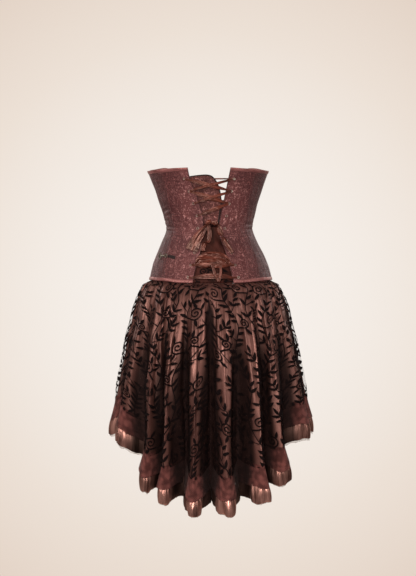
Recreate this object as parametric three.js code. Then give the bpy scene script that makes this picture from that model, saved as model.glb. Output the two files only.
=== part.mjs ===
// A strapless laced corset over a high-low skirt, held in the shape in which it is worn.
// Millimetres, +Z up. The laced back faces -Y and the wearer's right is +X.
// The origin is the middle of the waist, inside the garment.
import * as THREE from "three";

// The corset's outline at each height: half its width, half its depth behind and in front, and how far
// its middle leans to the wearer's left.
const BODICE = [
  { z: 175, wide: 170, back: 99, front: 126, lean: -7.5 },
  { z: 148, wide: 162, back: 96, front: 122, lean: -7.3 },
  { z: 100, wide: 144.5, back: 92, front: 116, lean: -6 },
  { z: 67, wide: 133.5, back: 90, front: 106, lean: -6 },
  { z: 35, wide: 124, back: 88, front: 97, lean: -4.7 },
  { z: 2, wide: 116.5, back: 87, front: 90, lean: -4 },
  { z: -14, wide: 117.5, back: 88, front: 89, lean: -3.4 },
  { z: -46, wide: 131, back: 93, front: 91, lean: -3 },
  { z: -78, wide: 146, back: 100, front: 95, lean: -1.4 },
  { z: -110, wide: 158, back: 108, front: 99, lean: -0.7 },
  { z: -143, wide: 165, back: 114, front: 102, lean: 0 },
  { z: -165, wide: 168, back: 118, front: 104, lean: 0 },
];

// The corset's top and bottom edges, by degrees from the centre back.
const EDGES = [
  { turn: 0, top: 153, bottom: -151 },
  { turn: 25, top: 153, bottom: -151 },
  { turn: 55, top: 150, bottom: -145 },
  { turn: 90, top: 150, bottom: -142 },
  { turn: 115, top: 157, bottom: -143 },
  { turn: 138, top: 164, bottom: -146 },
  { turn: 146, top: 150, bottom: -148 },
  { turn: 155, top: 108, bottom: -150 },
  { turn: 164, top: 74, bottom: -153 },
  { turn: 180, top: 70, bottom: -156 },
];

// The two laced edges, by share of the corset's height: x of the left one and of the right one.
const LACED = [
  { share: 0, left: -47, right: 60 },
  { share: 0.06, left: -44, right: 56 },
  { share: 0.164, left: -36.4, right: 47.5 },
  { share: 0.268, left: -27, right: 38.8 },
  { share: 0.409, left: -20.6, right: 23.2 },
  { share: 0.512, left: -19, right: 21.8 },
  { share: 0.582, left: -20.6, right: 26 },
  { share: 0.686, left: -29.8, right: 32.4 },
  { share: 0.79, left: -41, right: 39 },
  { share: 0.895, left: -54, right: 45.6 },
  { share: 1, left: -61.5, right: 52.3 },
];

// Seams between the panels of one side, in degrees from the centre back, at three heights.
const SEAMS = [
  { share: 0, backSeam: 49, sideBackSeam: 76, sideSeam: 106, sideFrontSeam: 140 },
  { share: 0.5, backSeam: 56, sideBackSeam: 80, sideSeam: 106, sideFrontSeam: 146 },
  { share: 1, backSeam: 50, sideBackSeam: 76, sideSeam: 104, sideFrontSeam: 138 },
];
const PANELS = [
  { name: "back", from: null, to: "backSeam", columns: 4 },
  { name: "side_back", from: "backSeam", to: "sideBackSeam", columns: 3 },
  { name: "side", from: "sideBackSeam", to: "sideSeam", columns: 3 },
  { name: "side_front", from: "sideSeam", to: "sideFrontSeam", columns: 3 },
  { name: "front", from: "sideFrontSeam", to: null, columns: 3 },
];
const BODICE_ROWS = 8;
const BODICE_WALL = 2.2;
const SEAM_GAP = 0.3;
const WAIST_RADIUS = 87;

// The skirt's outline over the crests of its folds, and how deep the valleys lie behind them.
const SKIRT = [
  { z: -158, wide: 184, back: 128, front: 118, lean: 0, valley: 6 },
  { z: -192, wide: 201, back: 145, front: 132, lean: 0, valley: 8 },
  { z: -224, wide: 212, back: 158, front: 142, lean: 1, valley: 11 },
  { z: -256, wide: 219, back: 168, front: 150, lean: 1, valley: 15 },
  { z: -300, wide: 233, back: 180, front: 158, lean: 1, valley: 21 },
  { z: -350, wide: 243, back: 192, front: 166, lean: 2, valley: 30 },
  { z: -402, wide: 254, back: 203, front: 173, lean: 2, valley: 40 },
  { z: -435, wide: 259, back: 209, front: 178, lean: 2, valley: 46 },
  { z: -500, wide: 264, back: 218, front: 184, lean: 3, valley: 56 },
  { z: -570, wide: 270, back: 226, front: 188, lean: 3, valley: 62 },
  { z: -650, wide: 280, back: 233, front: 193, lean: 3, valley: 65 },
  { z: -760, wide: 291, back: 240, front: 198, lean: 3, valley: 68 },
];

// Height of the ruffle's lower edge on a crest, by degrees from the centre back.
const HEM = [
  { turn: 0, z: -752 },
  { turn: 12, z: -750 },
  { turn: 24, z: -731 },
  { turn: 37, z: -700 },
  { turn: 46, z: -668 },
  { turn: 56, z: -638 },
  { turn: 67, z: -572 },
  { turn: 90, z: -560 },
  { turn: 115, z: -528 },
  { turn: 140, z: -492 },
  { turn: 180, z: -470 },
];

// Crests of the folds across the back, in degrees from the centre back. The front's are evenly spaced.
const BACK_CRESTS_RIGHT = [8, 29, 43.5, 71];
const BACK_CRESTS_LEFT = [293, 321, 332, 350];
const FRONT_CRESTS = 8;
const FOLD_COLUMNS = [0, 0.2, 0.4, 0.6, 0.8]; // from one valley to the next, with the crest at a half
const FOLDS_PER_GORE = 4;
const GORE_TRIM = 0.0025; // half a seam's gap, as a share of a fold
const CREST_ROUNDNESS = { top: 0.62, low: 1, from: -250, to: -560 }; // the crests narrow to tubes
const HEM_LIFT = 34; // how much higher the hem hangs in a valley
const CLOTH = 1.2;
const LAYER_GAP = 0.9;

const YOKE = { inset: 3.8, wall: 2.6, below: 1, topRow: 3.9 };
const SKIRT_TOP = { inset: 3.4, below: 1.5, flareBelow: 15 };
const SKIRT_DROPS = [0.3, 0.62, 1]; // shares of the way from the flare down to the overlay's hem
const OVERLAY_HEM = 100; // above the ruffle's lower edge
const SATIN_HEM = 55;
const LACE = { middle: 72, bottom: 46, middleOut: 2, bottomOut: 5 };
const RUFFLE = [
  { above: 54.7, out: 0, zigzag: 0 },
  { above: 44, out: -1, zigzag: 1 },
  { above: 22, out: 5, zigzag: 5 },
  { above: 0, out: 9, zigzag: 7 },
];
const EDGING = { above: 9, below: 7, inset: 4.2, wall: 1 };

const BINDING = { height: 8, over: 0.9, lift: 0.8, wall: 1 };
const TONGUE = { top: 134.6, bottom: 4, dip: 7, inset: 3, wall: 1.5, hidden: 12, columns: 7, rows: 8 };
const TONGUE_RIGHT = [
  { share: 0, x: 19.5 },
  { share: 0.25, x: 24 },
  { share: 0.43, x: 27 },
  { share: 0.57, x: 25.8 },
  { share: 0.74, x: 21.9 },
  { share: 0.9, x: 14.5 },
  { share: 1, x: 6 },
];
const PIPING = { gap: 0.4, width: 2.4, rise: 0.4 };

const EYELETS = 9;
const EYELET = { inset: 15.5, first: 0.045, last: 0.905, radius: 3.6, hole: 1.9, height: 1, lift: 0.4 };
const RIBBON = 0.8;
const UNDER = 1;
const OVER = 2.7;
const TOP = 4.4;
const STRAND_END = { clear: 4.1, width: 5 };

const COLOURS = {
  brocade: 0x6f4346,
  satinPanel: 0x4f3334,
  binding: 0x7a4038,
  dark: 0x20120f,
  metal: 0x8d8172,
  ribbon: 0x6e3a2a,
  satin: 0x6b4038,
  mesh: 0x2a1715,
  lace: 0x5e3530,
  ruffle: 0x9a6555,
  edging: 0xcfc6bd,
};

const garment = new THREE.Group();

// Smooth reading of one column of a table between its rows.
function read(rows, key, at, column) {
  const last = rows.length - 1;
  const way = Math.sign(rows[last][key] - rows[0][key]);
  let i = 0;
  while (i < last - 1 && (at - rows[i + 1][key]) * way > 0) i += 1;
  const slope = (a, b) => (rows[b][column] - rows[a][column]) / (rows[b][key] - rows[a][key]);
  const span = rows[i + 1][key] - rows[i][key];
  const t = THREE.MathUtils.clamp((at - rows[i][key]) / span, 0, 1);
  const start = slope(Math.max(i - 1, 0), i + 1) * span;
  const end = slope(i, Math.min(i + 2, last)) * span;
  const rise = rows[i + 1][column] - rows[i][column];
  return rows[i][column] + start * t + (3 * rise - 2 * start - end) * t * t
    + (start + end - 2 * rise) * t * t * t;
}

function mix(a, b, share) {
  return a + (b - a) * share;
}

function radians(degrees) {
  return (degrees * Math.PI) / 180;
}

// Degrees from the centre back, 0 to 180, on either side.
function turnOf(angle) {
  const degrees = Math.abs((angle * 180) / Math.PI) % 360;
  return degrees > 180 ? 360 - degrees : degrees;
}

// A closed solid between an outer and an inner grid of points, open at its ends or closed round as a ring.
function wall(outer, inner, ring = false) {
  const columns = outer.length;
  const rows = outer[0].length;
  const at = (side, i, j) => side * columns * rows + (i % columns) * rows + j;
  const faces = [];
  const quad = (a, b, c, d) => faces.push(a, b, c, a, c, d);
  const spans = ring ? columns : columns - 1;
  const end = columns - 1;
  for (let i = 0; i < spans; i += 1) {
    for (let j = 0; j < rows - 1; j += 1) {
      quad(at(0, i, j), at(0, i + 1, j), at(0, i + 1, j + 1), at(0, i, j + 1));
      quad(at(1, i, j), at(1, i, j + 1), at(1, i + 1, j + 1), at(1, i + 1, j));
    }
    quad(at(0, i, 0), at(1, i, 0), at(1, i + 1, 0), at(0, i + 1, 0));
    quad(at(0, i, rows - 1), at(0, i + 1, rows - 1), at(1, i + 1, rows - 1), at(1, i, rows - 1));
  }
  for (let j = 0; !ring && j < rows - 1; j += 1) {
    quad(at(0, 0, j), at(0, 0, j + 1), at(1, 0, j + 1), at(1, 0, j));
    quad(at(0, end, j), at(1, end, j), at(1, end, j + 1), at(0, end, j + 1));
  }
  const points = [...outer.flat(), ...inner.flat()];
  return outward(points, faces);
}

// The geometry of these faces, turned over where they face inwards.
function outward(points, faces) {
  let volume = 0;
  for (let k = 0; k < faces.length; k += 3) {
    const [a, b, c] = [points[faces[k]], points[faces[k + 1]], points[faces[k + 2]]];
    volume += a.dot(new THREE.Vector3().crossVectors(b, c));
  }
  const geometry = new THREE.BufferGeometry().setFromPoints(points);
  geometry.setIndex(volume < 0 ? faces.reverse() : faces);
  geometry.computeVertexNormals();
  return geometry;
}

function add(name, geometry, colour, roughness = 0.6, metalness = 0) {
  const material = new THREE.MeshStandardMaterial({ color: COLOURS[colour], roughness, metalness });
  const mesh = new THREE.Mesh(geometry, material);
  mesh.name = name;
  garment.add(mesh);
  return mesh;
}

// The corset's outline at an angle from the centre back, moved inwards by inset.
function bodicePoint(angle, z, inset = 0) {
  const wide = read(BODICE, "z", z, "wide");
  const deep = read(BODICE, "z", z, Math.cos(angle) > 0 ? "back" : "front");
  const normal = new THREE.Vector3(Math.sin(angle) / wide, -Math.cos(angle) / deep, 0).normalize();
  const lean = read(BODICE, "z", z, "lean");
  return new THREE.Vector3(lean + wide * Math.sin(angle), -deep * Math.cos(angle), z)
    .addScaledVector(normal, -inset);
}

function angleAtX(x, z) {
  return Math.asin((x - read(BODICE, "z", z, "lean")) / read(BODICE, "z", z, "wide"));
}

// A place on the back by its x and height, lifted off the corset's surface, with the surface's normal.
function onBack(x, z, lift) {
  const angle = angleAtX(x, z);
  const point = bodicePoint(angle, z, -lift);
  const normal = point.clone().sub(bodicePoint(angle, z, 1 - lift)).normalize();
  return { point, normal };
}

function edgeZ(angle, edge) {
  return read(EDGES, "turn", turnOf(angle), edge);
}

// Angle of a laced edge, side -1 for the left one and 1 for the right one.
function lacedAngle(side, share) {
  const x = read(LACED, "share", share, side < 0 ? "left" : "right");
  return angleAtX(x, mix(EDGES[0].bottom, EDGES[0].top, share));
}

// Angle of a panel's column at a share of the height, with half a seam's gap left at the panel's sides.
function columnAngle(side, panel, column, share) {
  const seam = (key) => side * radians(read(SEAMS, "share", share, key));
  const from = panel.from ? seam(panel.from) : lacedAngle(side, share);
  const to = panel.to ? seam(panel.to) : side * Math.PI;
  const trim = (side * SEAM_GAP) / 2 / WAIST_RADIUS;
  const start = panel.from ? from + trim : from;
  return mix(start, to - trim, column / panel.columns);
}

// A point on a corset column, on the straight line between its rows, so that what lies on it follows it.
function columnPoint(angleAt, share, inset) {
  const row = THREE.MathUtils.clamp(Math.floor(share * BODICE_ROWS), 0, BODICE_ROWS - 1);
  const onRow = (r) => {
    const angle = angleAt(r / BODICE_ROWS);
    const z = mix(edgeZ(angle, "bottom"), edgeZ(angle, "top"), r / BODICE_ROWS);
    return bodicePoint(angle, z, inset);
  };
  return onRow(row).lerp(onRow(row + 1), share * BODICE_ROWS - row);
}

function columnsOf(side, panel) {
  return Array.from({ length: panel.columns + 1 }, (_, i) => (share) => columnAngle(side, panel, i, share));
}

function shellWall(columns, sharesOf, inset, thickness, ring = false) {
  const column = (angleAt, depth) => sharesOf(angleAt).map((share) => columnPoint(angleAt, share, depth));
  const grid = (depth) => columns.map((angleAt) => column(angleAt, depth));
  return wall(grid(inset), grid(inset + thickness), ring);
}

function bodicePanels() {
  const shares = Array.from({ length: BODICE_ROWS + 1 }, (_, j) => j / BODICE_ROWS);
  for (const side of [-1, 1]) {
    for (const panel of PANELS) {
      const name = `corset_${panel.name}_${side < 0 ? "left" : "right"}`;
      const colour = panel.name === "back" || panel.name === "front" ? "brocade" : "satinPanel";
      add(name, shellWall(columnsOf(side, panel), () => shares, 0, BODICE_WALL), colour);
    }
  }
}

// Every column of the corset from the left laced edge round the front to the right one. At a seam only
// the column before it is kept.
function allColumns() {
  const half = (side) => PANELS.flatMap((panel) => columnsOf(side, panel).slice(panel.from ? 1 : 0));
  return [...half(-1), ...half(1).reverse()];
}

function bindings() {
  const height = EDGES[0].top - EDGES[0].bottom;
  const strip = (from, to) => {
    const columns = allColumns();
    const row = (depth, share, shift) => columns.map((angleAt) => {
      const point = columnPoint(angleAt, share, depth);
      point.z += shift;
      return point;
    });
    const zip = (a, b) => a.map((point, i) => [point, b[i]]);
    const outer = zip(row(-BINDING.lift - BINDING.wall, from.share, from.shift),
      row(-BINDING.lift - BINDING.wall, to.share, to.shift));
    const inner = zip(row(-BINDING.lift, from.share, from.shift), row(-BINDING.lift, to.share, to.shift));
    return wall(outer, inner);
  };
  const width = BINDING.height / height;
  add("corset_top_binding", strip({ share: 1 - width, shift: 0 }, { share: 1, shift: BINDING.over }),
    "binding", 0.35);
  add("corset_bottom_binding", strip({ share: 0, shift: -BINDING.over }, { share: width, shift: 0 }),
    "binding", 0.35);
}

// The modesty panel behind the lacing, fixed under the left laced edge, and the piping on its free edge.
function tongue() {
  const at = (u, v) => {
    const z = mix(TONGUE.bottom, TONGUE.top, v) - TONGUE.dip * v * (1 - u) ** 2;
    const share = (z - EDGES[0].bottom) / (EDGES[0].top - EDGES[0].bottom);
    const left = read(LACED, "share", share, "left") - TONGUE.hidden;
    return { x: mix(left, read(TONGUE_RIGHT, "share", v, "x"), u), z };
  };
  const shares = Array.from({ length: TONGUE.rows + 1 }, (_, j) => j / TONGUE.rows);
  const across = Array.from({ length: TONGUE.columns + 1 }, (_, i) => i / TONGUE.columns);
  const grid = (inset) => across.map((u) => shares.map((v) => onBack(at(u, v).x, at(u, v).z, -inset).point));
  add("modesty_panel", wall(grid(TONGUE.inset), grid(TONGUE.inset + TONGUE.wall)), "brocade");

  const edge = [...across.map((u) => at(u, 1)), ...shares.slice(0, -1).reverse().map((v) => at(1, v))];
  const away = (i, distance) => {
    const before = edge[Math.max(i - 1, 0)];
    const after = edge[Math.min(i + 1, edge.length - 1)];
    const length = Math.hypot(after.x - before.x, after.z - before.z);
    return {
      x: edge[i].x - ((after.z - before.z) / length) * distance,
      z: edge[i].z + ((after.x - before.x) / length) * distance,
    };
  };
  const border = (inset) => edge.map((_, i) => [PIPING.gap, PIPING.gap + PIPING.width].map((out) => {
    const place = away(i, out);
    return onBack(place.x, place.z, -inset).point;
  }));
  add("modesty_panel_piping", wall(border(TONGUE.inset - PIPING.rise), border(TONGUE.inset + TONGUE.wall)),
    "dark");
}

// A place on a back panel's flat faces by its x and share of the height, with the face's normal.
function onBackPanel(side, x, share) {
  const row = (at) => columnsOf(side, PANELS[0]).map((angleAt) => columnPoint(angleAt, at, 0));
  const across = row(share);
  const span = across.findIndex((point, i) => i > 0 && Math.abs(point.x) > Math.abs(x)) - 1;
  const [from, to] = [across[span], across[span + 1]];
  const point = from.clone().lerp(to, (x - from.x) / (to.x - from.x));
  const above = row(share + 0.01)[span];
  const normal = new THREE.Vector3().crossVectors(to.clone().sub(from), above.sub(from)).normalize();
  return { point, normal: normal.y > 0 ? normal.negate() : normal };
}

function eyeletPlace(side, index) {
  const share = mix(EYELET.last, EYELET.first, index / (EYELETS - 1));
  const z = mix(EDGES[0].bottom, EDGES[0].top, share);
  const x = read(LACED, "share", share, side < 0 ? "left" : "right") + side * EYELET.inset;
  return { x, z, share };
}

function eyelets() {
  const { radius, hole, height } = EYELET;
  const profile = [[hole, 0], [radius, 0], [radius - 0.4, height], [hole + 0.3, height], [hole, 0]];
  const up = new THREE.Vector3(0, 1, 0);
  for (const side of [-1, 1]) {
    for (let index = 0; index < EYELETS; index += 1) {
      const ring = new THREE.LatheGeometry(profile.map(([x, y]) => new THREE.Vector2(x, y)), 10);
      const { x, share } = eyeletPlace(side, index);
      const { point, normal } = onBackPanel(side, x, share);
      const mesh = add(`eyelet_${side < 0 ? "left" : "right"}_${index + 1}`, ring, "metal", 0.35, 1);
      mesh.position.copy(point).addScaledVector(normal, EYELET.lift);
      mesh.quaternion.setFromUnitVectors(up, normal);
    }
  }
}

// A ribbon along places given by x, z, lift and width, with steps between each two of them.
function ribbon(places, steps, thickness = RIBBON) {
  const path = [];
  for (let k = 0; k < places.length - 1; k += 1) {
    for (let s = k === 0 ? 0 : 1; s <= steps; s += 1) {
      const blend = (key) => mix(places[k][key], places[k + 1][key], s / steps);
      path.push({ x: blend("x"), z: blend("z"), lift: blend("lift"), width: blend("width") });
    }
  }
  const frames = path.map((place) => ({ ...onBack(place.x, place.z, place.lift), width: place.width }));
  const outer = [];
  const inner = [];
  frames.forEach(({ point, normal, width }, i) => {
    const before = frames[Math.max(i - 1, 0)].point;
    const after = frames[Math.min(i + 1, frames.length - 1)].point;
    const across = new THREE.Vector3().crossVectors(normal, after.clone().sub(before)).normalize();
    const sides = [-width / 2, width / 2].map((w) => point.clone().addScaledVector(across, w));
    inner.push(sides);
    outer.push(sides.map((side) => side.clone().addScaledVector(normal, thickness)));
  });
  return wall(outer, inner);
}

// One stretch of lacing between two eyelets, starting just clear of their rings.
function strand(name, from, to, lift, width, sag = 0) {
  const [a, b] = [eyeletPlace(...from), eyeletPlace(...to)];
  const length = Math.hypot(b.x - a.x, b.z - a.z);
  const at = (distance, wide, drop) => ({
    x: mix(a.x, b.x, distance / length),
    z: mix(a.z, b.z, distance / length) - drop,
    lift,
    width: wide,
  });
  const { clear, width: end } = STRAND_END;
  const places = [at(clear, end, 0), at(length * 0.3, width, sag), at(length * 0.7, width, sag),
    at(length - clear, end, 0)];
  add(name, ribbon(places, 2), "ribbon", 0.3);
}

function lacing() {
  const [left, right] = [-1, 1];
  strand("lacing_top", [left, 0], [right, 0], UNDER, 9);
  strand("lacing_1_down", [left, 0], [right, 1], OVER, 8);
  strand("lacing_1_up", [left, 1], [right, 0], TOP, 7);
  strand("lacing_2_down", [left, 1], [right, 2], UNDER, 10);
  strand("lacing_2_up", [left, 2], [right, 1], TOP, 7);
  strand("lacing_3_up", [left, 3], [right, 2], OVER, 8);
  strand("lacing_hip_wide", [left, 7], [right, 7], UNDER + 0.4, 22, -18);
  strand("lacing_hip_twisted", [left, 7], [right, 7], OVER, 6, 4);
  strand("lacing_bottom", [left, 8], [right, 8], UNDER, 11, -3);
}

function bow() {
  const knot = new THREE.SphereGeometry(1, 12, 8);
  const { point, normal } = onBack(-7, 8, 2.1);
  const mesh = add("bow_knot", knot, "ribbon", 0.3);
  mesh.position.copy(point);
  mesh.quaternion.setFromUnitVectors(new THREE.Vector3(0, -1, 0), normal);
  mesh.scale.set(9, 4.5, 7.5);
  const place = (x, z, lift, width) => ({ x, z, lift, width });
  const left = [place(-12.6, 1.9, 1.2, 5), place(-24, -12, 4, 14), place(-42, -38, 4, 20),
    place(-57, -63, 3.6, 19)];
  const middle = [place(-6.5, 0.1, 2, 4), place(-5, -22, 5.8, 11), place(-8, -38, 5.8, 11),
    place(-21, -46, 5.4, 12), place(-22, -66, 4.6, 13)];
  const right = [place(2.3, 7.6, 1.8, 5), place(17, 2, 4, 8), place(24, -14, 3.8, 8), place(30, -32, 3.8, 9),
    place(43, -52, 3.6, 9), place(58, -73, 3.6, 7)];
  add("bow_tail_left", ribbon(left, 3), "ribbon", 0.3);
  add("bow_loop_middle", ribbon(middle, 2), "ribbon", 0.3);
  add("bow_tail_right", ribbon(right, 2), "ribbon", 0.3);
  const low = [place(3, -101, 4.4, 6), place(8, -121, 4.4, 6), place(15, -141, 4.4, 6),
    place(20, -149, 4.4, 6), place(24, -141, 4.4, 6), place(26, -121, 4.4, 6), place(25, -103, 4.4, 6)];
  add("lacing_hanging_loop", ribbon(low, 2), "ribbon", 0.3);
}

// The small swivel clasp on the left hip: its hooked body, its ring and the short strap.
function clasp() {
  const x = -126;
  const z = -79;
  const lift = 2.7;
  const { point, normal } = onBack(x, z, lift);
  const up = new THREE.Vector3(0, 0, 1);
  const along = new THREE.Vector3().crossVectors(up, normal).normalize();
  const basis = new THREE.Matrix4().makeBasis(along, up, normal);
  const place = (mesh, shift) => {
    mesh.quaternion.setFromRotationMatrix(basis);
    mesh.position.copy(point).addScaledVector(along, shift);
  };
  const body = new THREE.Shape();
  body.absellipse(-10, 0, 5, 9.5, 0, Math.PI * 2);
  const eye = new THREE.Path();
  eye.absellipse(-10.4, 0, 2.6, 6.4, 0, Math.PI * 2);
  body.holes.push(eye);
  const hook = new THREE.ExtrudeGeometry(body, { depth: 2.4, bevelEnabled: false, curveSegments: 14 });
  place(add("clasp_hook", hook, "metal", 0.4, 1), 0);
  const stem = new THREE.CylinderGeometry(2, 2.6, 13, 10).rotateZ(Math.PI / 2).translate(2, 0, 1.6);
  place(add("clasp_stem", stem, "metal", 0.4, 1), 0);
  const ring = new THREE.TorusGeometry(4.4, 1.1, 6, 16).translate(14.4, 0, 1.4);
  place(add("clasp_ring", ring, "metal", 0.4, 1), 0);
  const spot = (dx, dz, rise, width) => ({ x: x + dx, z: z + dz, lift: rise, width });
  const strap = [spot(13, -1, 1, 7), spot(22, -3, 1, 8), spot(31, -6, 1, 8)];
  add("clasp_strap", ribbon(strap, 2, 1), "dark", 0.6);
}

// The fitted top of the skirt, seen in the gap of the lacing, inside the corset.
function yoke() {
  const gap = (t) => (share) => mix(lacedAngle(1, share), lacedAngle(-1, share), t);
  const columns = [...allColumns(), ...[0.25, 0.5, 0.75].map(gap)];
  const shares = (angleAt) => {
    const angle = angleAt(0);
    const seam = -YOKE.below / (edgeZ(angle, "top") - edgeZ(angle, "bottom"));
    return [seam, ...[1, 2, 3, YOKE.topRow].map((row) => row / BODICE_ROWS)];
  };
  add("skirt_yoke", shellWall(columns, shares, YOKE.inset, YOKE.wall, true), "mesh");
}

// Crests all the way round, in degrees from the centre back, from 0 to 360.
function crests() {
  const from = BACK_CRESTS_RIGHT[BACK_CRESTS_RIGHT.length - 1];
  const step = (BACK_CRESTS_LEFT[0] - from) / (FRONT_CRESTS + 1);
  const front = Array.from({ length: FRONT_CRESTS }, (_, i) => from + step * (i + 1));
  return [...BACK_CRESTS_RIGHT, ...front, ...BACK_CRESTS_LEFT];
}

const CRESTS = crests();
const FOLDS = CRESTS.length;

// Angle at a fold number, whole on a crest and half on the valley after it.
function foldAngle(fold) {
  const k = Math.floor(fold);
  const crest = (n) => CRESTS[((n % FOLDS) + FOLDS) % FOLDS] + 360 * Math.floor(n / FOLDS);
  return radians(mix(crest(k), crest(k + 1), fold - k));
}

// 1 on a crest and 0 in a valley, at a height.
function crestShare(fold, z = CREST_ROUNDNESS.to) {
  const { top, low, from, to } = CREST_ROUNDNESS;
  const roundness = mix(top, low, THREE.MathUtils.clamp((z - from) / (to - from), 0, 1));
  return (0.5 + 0.5 * Math.cos(2 * Math.PI * fold)) ** roundness;
}

function hemZ(fold) {
  return read(HEM, "turn", turnOf(foldAngle(fold)), "z") + HEM_LIFT * (1 - crestShare(fold));
}

// The skirt's surface at a fold number and height.
function skirtPoint(fold, z) {
  const angle = foldAngle(fold);
  const depth = read(SKIRT, "z", z, "valley") * (1 - crestShare(fold, z));
  const wide = read(SKIRT, "z", z, "wide") - depth;
  const deep = read(SKIRT, "z", z, Math.cos(angle) > 0 ? "back" : "front") - depth;
  return new THREE.Vector3(read(SKIRT, "z", z, "lean") + wide * Math.sin(angle), -deep * Math.cos(angle), z);
}

function skirtNormal(fold, z) {
  const step = 0.04;
  const run = skirtPoint(fold + step, z).sub(skirtPoint(fold - step, z));
  return new THREE.Vector3(run.y, -run.x, 0).normalize();
}

function skirtOffset(fold, z, inset) {
  return skirtPoint(fold, z).addScaledVector(skirtNormal(fold, z), -inset);
}

// The rows of one skirt column, from the seam under the corset down to the overlay's hem.
function skirtRows(fold, inset) {
  const angle = foldAngle(fold);
  const edge = edgeZ(angle, "bottom");
  const flare = edge - SKIRT_TOP.flareBelow;
  const hem = hemZ(fold) + OVERLAY_HEM;
  return [
    bodicePoint(angle, edge - SKIRT_TOP.below, SKIRT_TOP.inset + inset),
    skirtOffset(fold, flare, inset),
    ...SKIRT_DROPS.map((drop) => skirtOffset(fold, mix(flare, hem, drop), inset)),
  ];
}

// The fold numbers of the columns from one valley to another.
function foldRange(from, to) {
  const valleys = Array.from({ length: to - from }, (_, i) => from + i);
  return [...valleys.flatMap((valley) => FOLD_COLUMNS.map((share) => valley + share)), to];
}

// The fold numbers of one gore. Its two ends keep a seam's gap.
function goreFolds(from, to) {
  const folds = foldRange(from, to);
  folds[0] += GORE_TRIM;
  folds[folds.length - 1] -= GORE_TRIM;
  return folds;
}

function overlay() {
  const names = ["back_right", "front_right", "front_left", "back_left"];
  names.forEach((name, i) => {
    const folds = goreFolds(i * FOLDS_PER_GORE - 0.5, (i + 1) * FOLDS_PER_GORE - 0.5);
    const grid = (inset) => folds.map((fold) => skirtRows(fold, inset));
    add(`skirt_overlay_${name}`, wall(grid(0), grid(CLOTH)), "mesh", 0.5);
  });
}

function satinSkirt() {
  const inset = CLOTH + LAYER_GAP;
  ["right", "left"].forEach((name, i) => {
    const folds = goreFolds(i * 2 * FOLDS_PER_GORE - 0.5, (i + 1) * 2 * FOLDS_PER_GORE - 0.5);
    const column = (fold, depth) => [...skirtRows(fold, depth),
      skirtOffset(fold, hemZ(fold) + SATIN_HEM, depth)];
    const grid = (depth) => folds.map((fold) => column(fold, depth));
    add(`skirt_satin_${name}`, wall(grid(inset), grid(inset + CLOTH)), "satin", 0.3);
  });
}

function laceBand() {
  const folds = foldRange(-0.5, FOLDS - 0.5).slice(0, -1);
  const column = (fold, inset) => [
    skirtOffset(fold, hemZ(fold) + OVERLAY_HEM - SEAM_GAP, inset),
    skirtOffset(fold, hemZ(fold) + LACE.middle, inset - LACE.middleOut),
    skirtOffset(fold, hemZ(fold) + LACE.bottom, inset - LACE.bottomOut),
  ];
  const grid = (inset) => folds.map((fold) => column(fold, inset));
  add("skirt_lace_band", wall(grid(0), grid(CLOTH), true), "lace", 0.7);
}

// A point of the ruffle: row counts down from the seam and may lie between two rows.
function rufflePoint(fold, index, row, inset) {
  const at = (r) => {
    const { above, out, zigzag } = RUFFLE[r];
    const push = out + (index % 2 === 0 ? zigzag : -zigzag);
    return skirtOffset(fold, hemZ(fold) + above, CLOTH + LAYER_GAP + inset - push);
  };
  const whole = Math.min(Math.floor(row), RUFFLE.length - 2);
  return at(whole).lerp(at(whole + 1), row - whole);
}

function ruffleAndEdging() {
  const folds = foldRange(-0.5, FOLDS - 0.5).slice(0, -1);
  const grid = (rows, inset, drop = 0) => folds.map((fold, i) => rows.map((row, k) => {
    const point = rufflePoint(fold, i, row, inset);
    point.z -= k === rows.length - 1 ? drop : 0;
    return point;
  }));
  const rows = RUFFLE.map((_, row) => row);
  add("skirt_ruffle", wall(grid(rows, 0), grid(rows, CLOTH), true), "ruffle", 0.3);
  const last = RUFFLE.length - 1;
  const top = last - EDGING.above / RUFFLE[last - 1].above;
  const edging = (inset) => grid([top, last], inset, EDGING.below);
  add("skirt_lace_edging", wall(edging(EDGING.inset), edging(EDGING.inset + EDGING.wall), true), "edging");
}

bodicePanels();
bindings();
tongue();
eyelets();
lacing();
bow();
clasp();
yoke();
overlay();
satinSkirt();
laceBand();
ruffleAndEdging();

export default garment;
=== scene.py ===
"""Looks of a laced brocade corset over a gathered high-low skirt of flocked mesh on satin."""
import math

import bmesh
import bpy
import numpy as np
from mathutils import Matrix, Vector


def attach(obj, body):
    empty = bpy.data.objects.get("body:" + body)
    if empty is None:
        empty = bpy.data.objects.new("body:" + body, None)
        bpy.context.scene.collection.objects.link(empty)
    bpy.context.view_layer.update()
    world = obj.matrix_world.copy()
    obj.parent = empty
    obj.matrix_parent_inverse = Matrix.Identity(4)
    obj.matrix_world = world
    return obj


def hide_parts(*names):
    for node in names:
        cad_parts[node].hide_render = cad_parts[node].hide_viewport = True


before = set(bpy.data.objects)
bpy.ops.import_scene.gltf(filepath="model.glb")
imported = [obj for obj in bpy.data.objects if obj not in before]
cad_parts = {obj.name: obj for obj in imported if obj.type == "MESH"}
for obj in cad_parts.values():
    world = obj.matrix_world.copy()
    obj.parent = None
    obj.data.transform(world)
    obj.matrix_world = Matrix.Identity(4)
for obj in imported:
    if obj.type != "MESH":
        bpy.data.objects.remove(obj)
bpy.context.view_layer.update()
MM = 0.001
SIDES = {"left": -1, "right": 1}

# The corset's outline at each height, in millimetres.
BODICE = {
    "z": (175, 148, 100, 67, 35, 2, -14, -46, -78, -110, -143, -165),
    "wide": (170, 162, 144.5, 133.5, 124, 116.5, 117.5, 131, 146, 158, 165, 168),
    "back": (99, 96, 92, 90, 88, 87, 88, 93, 100, 108, 114, 118),
    "front": (126, 122, 116, 106, 97, 90, 89, 91, 95, 99, 102, 104),
    "lean": (-7.5, -7.3, -6, -6, -4.7, -4, -3.4, -3, -1.4, -0.7, 0, 0),
}
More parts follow.
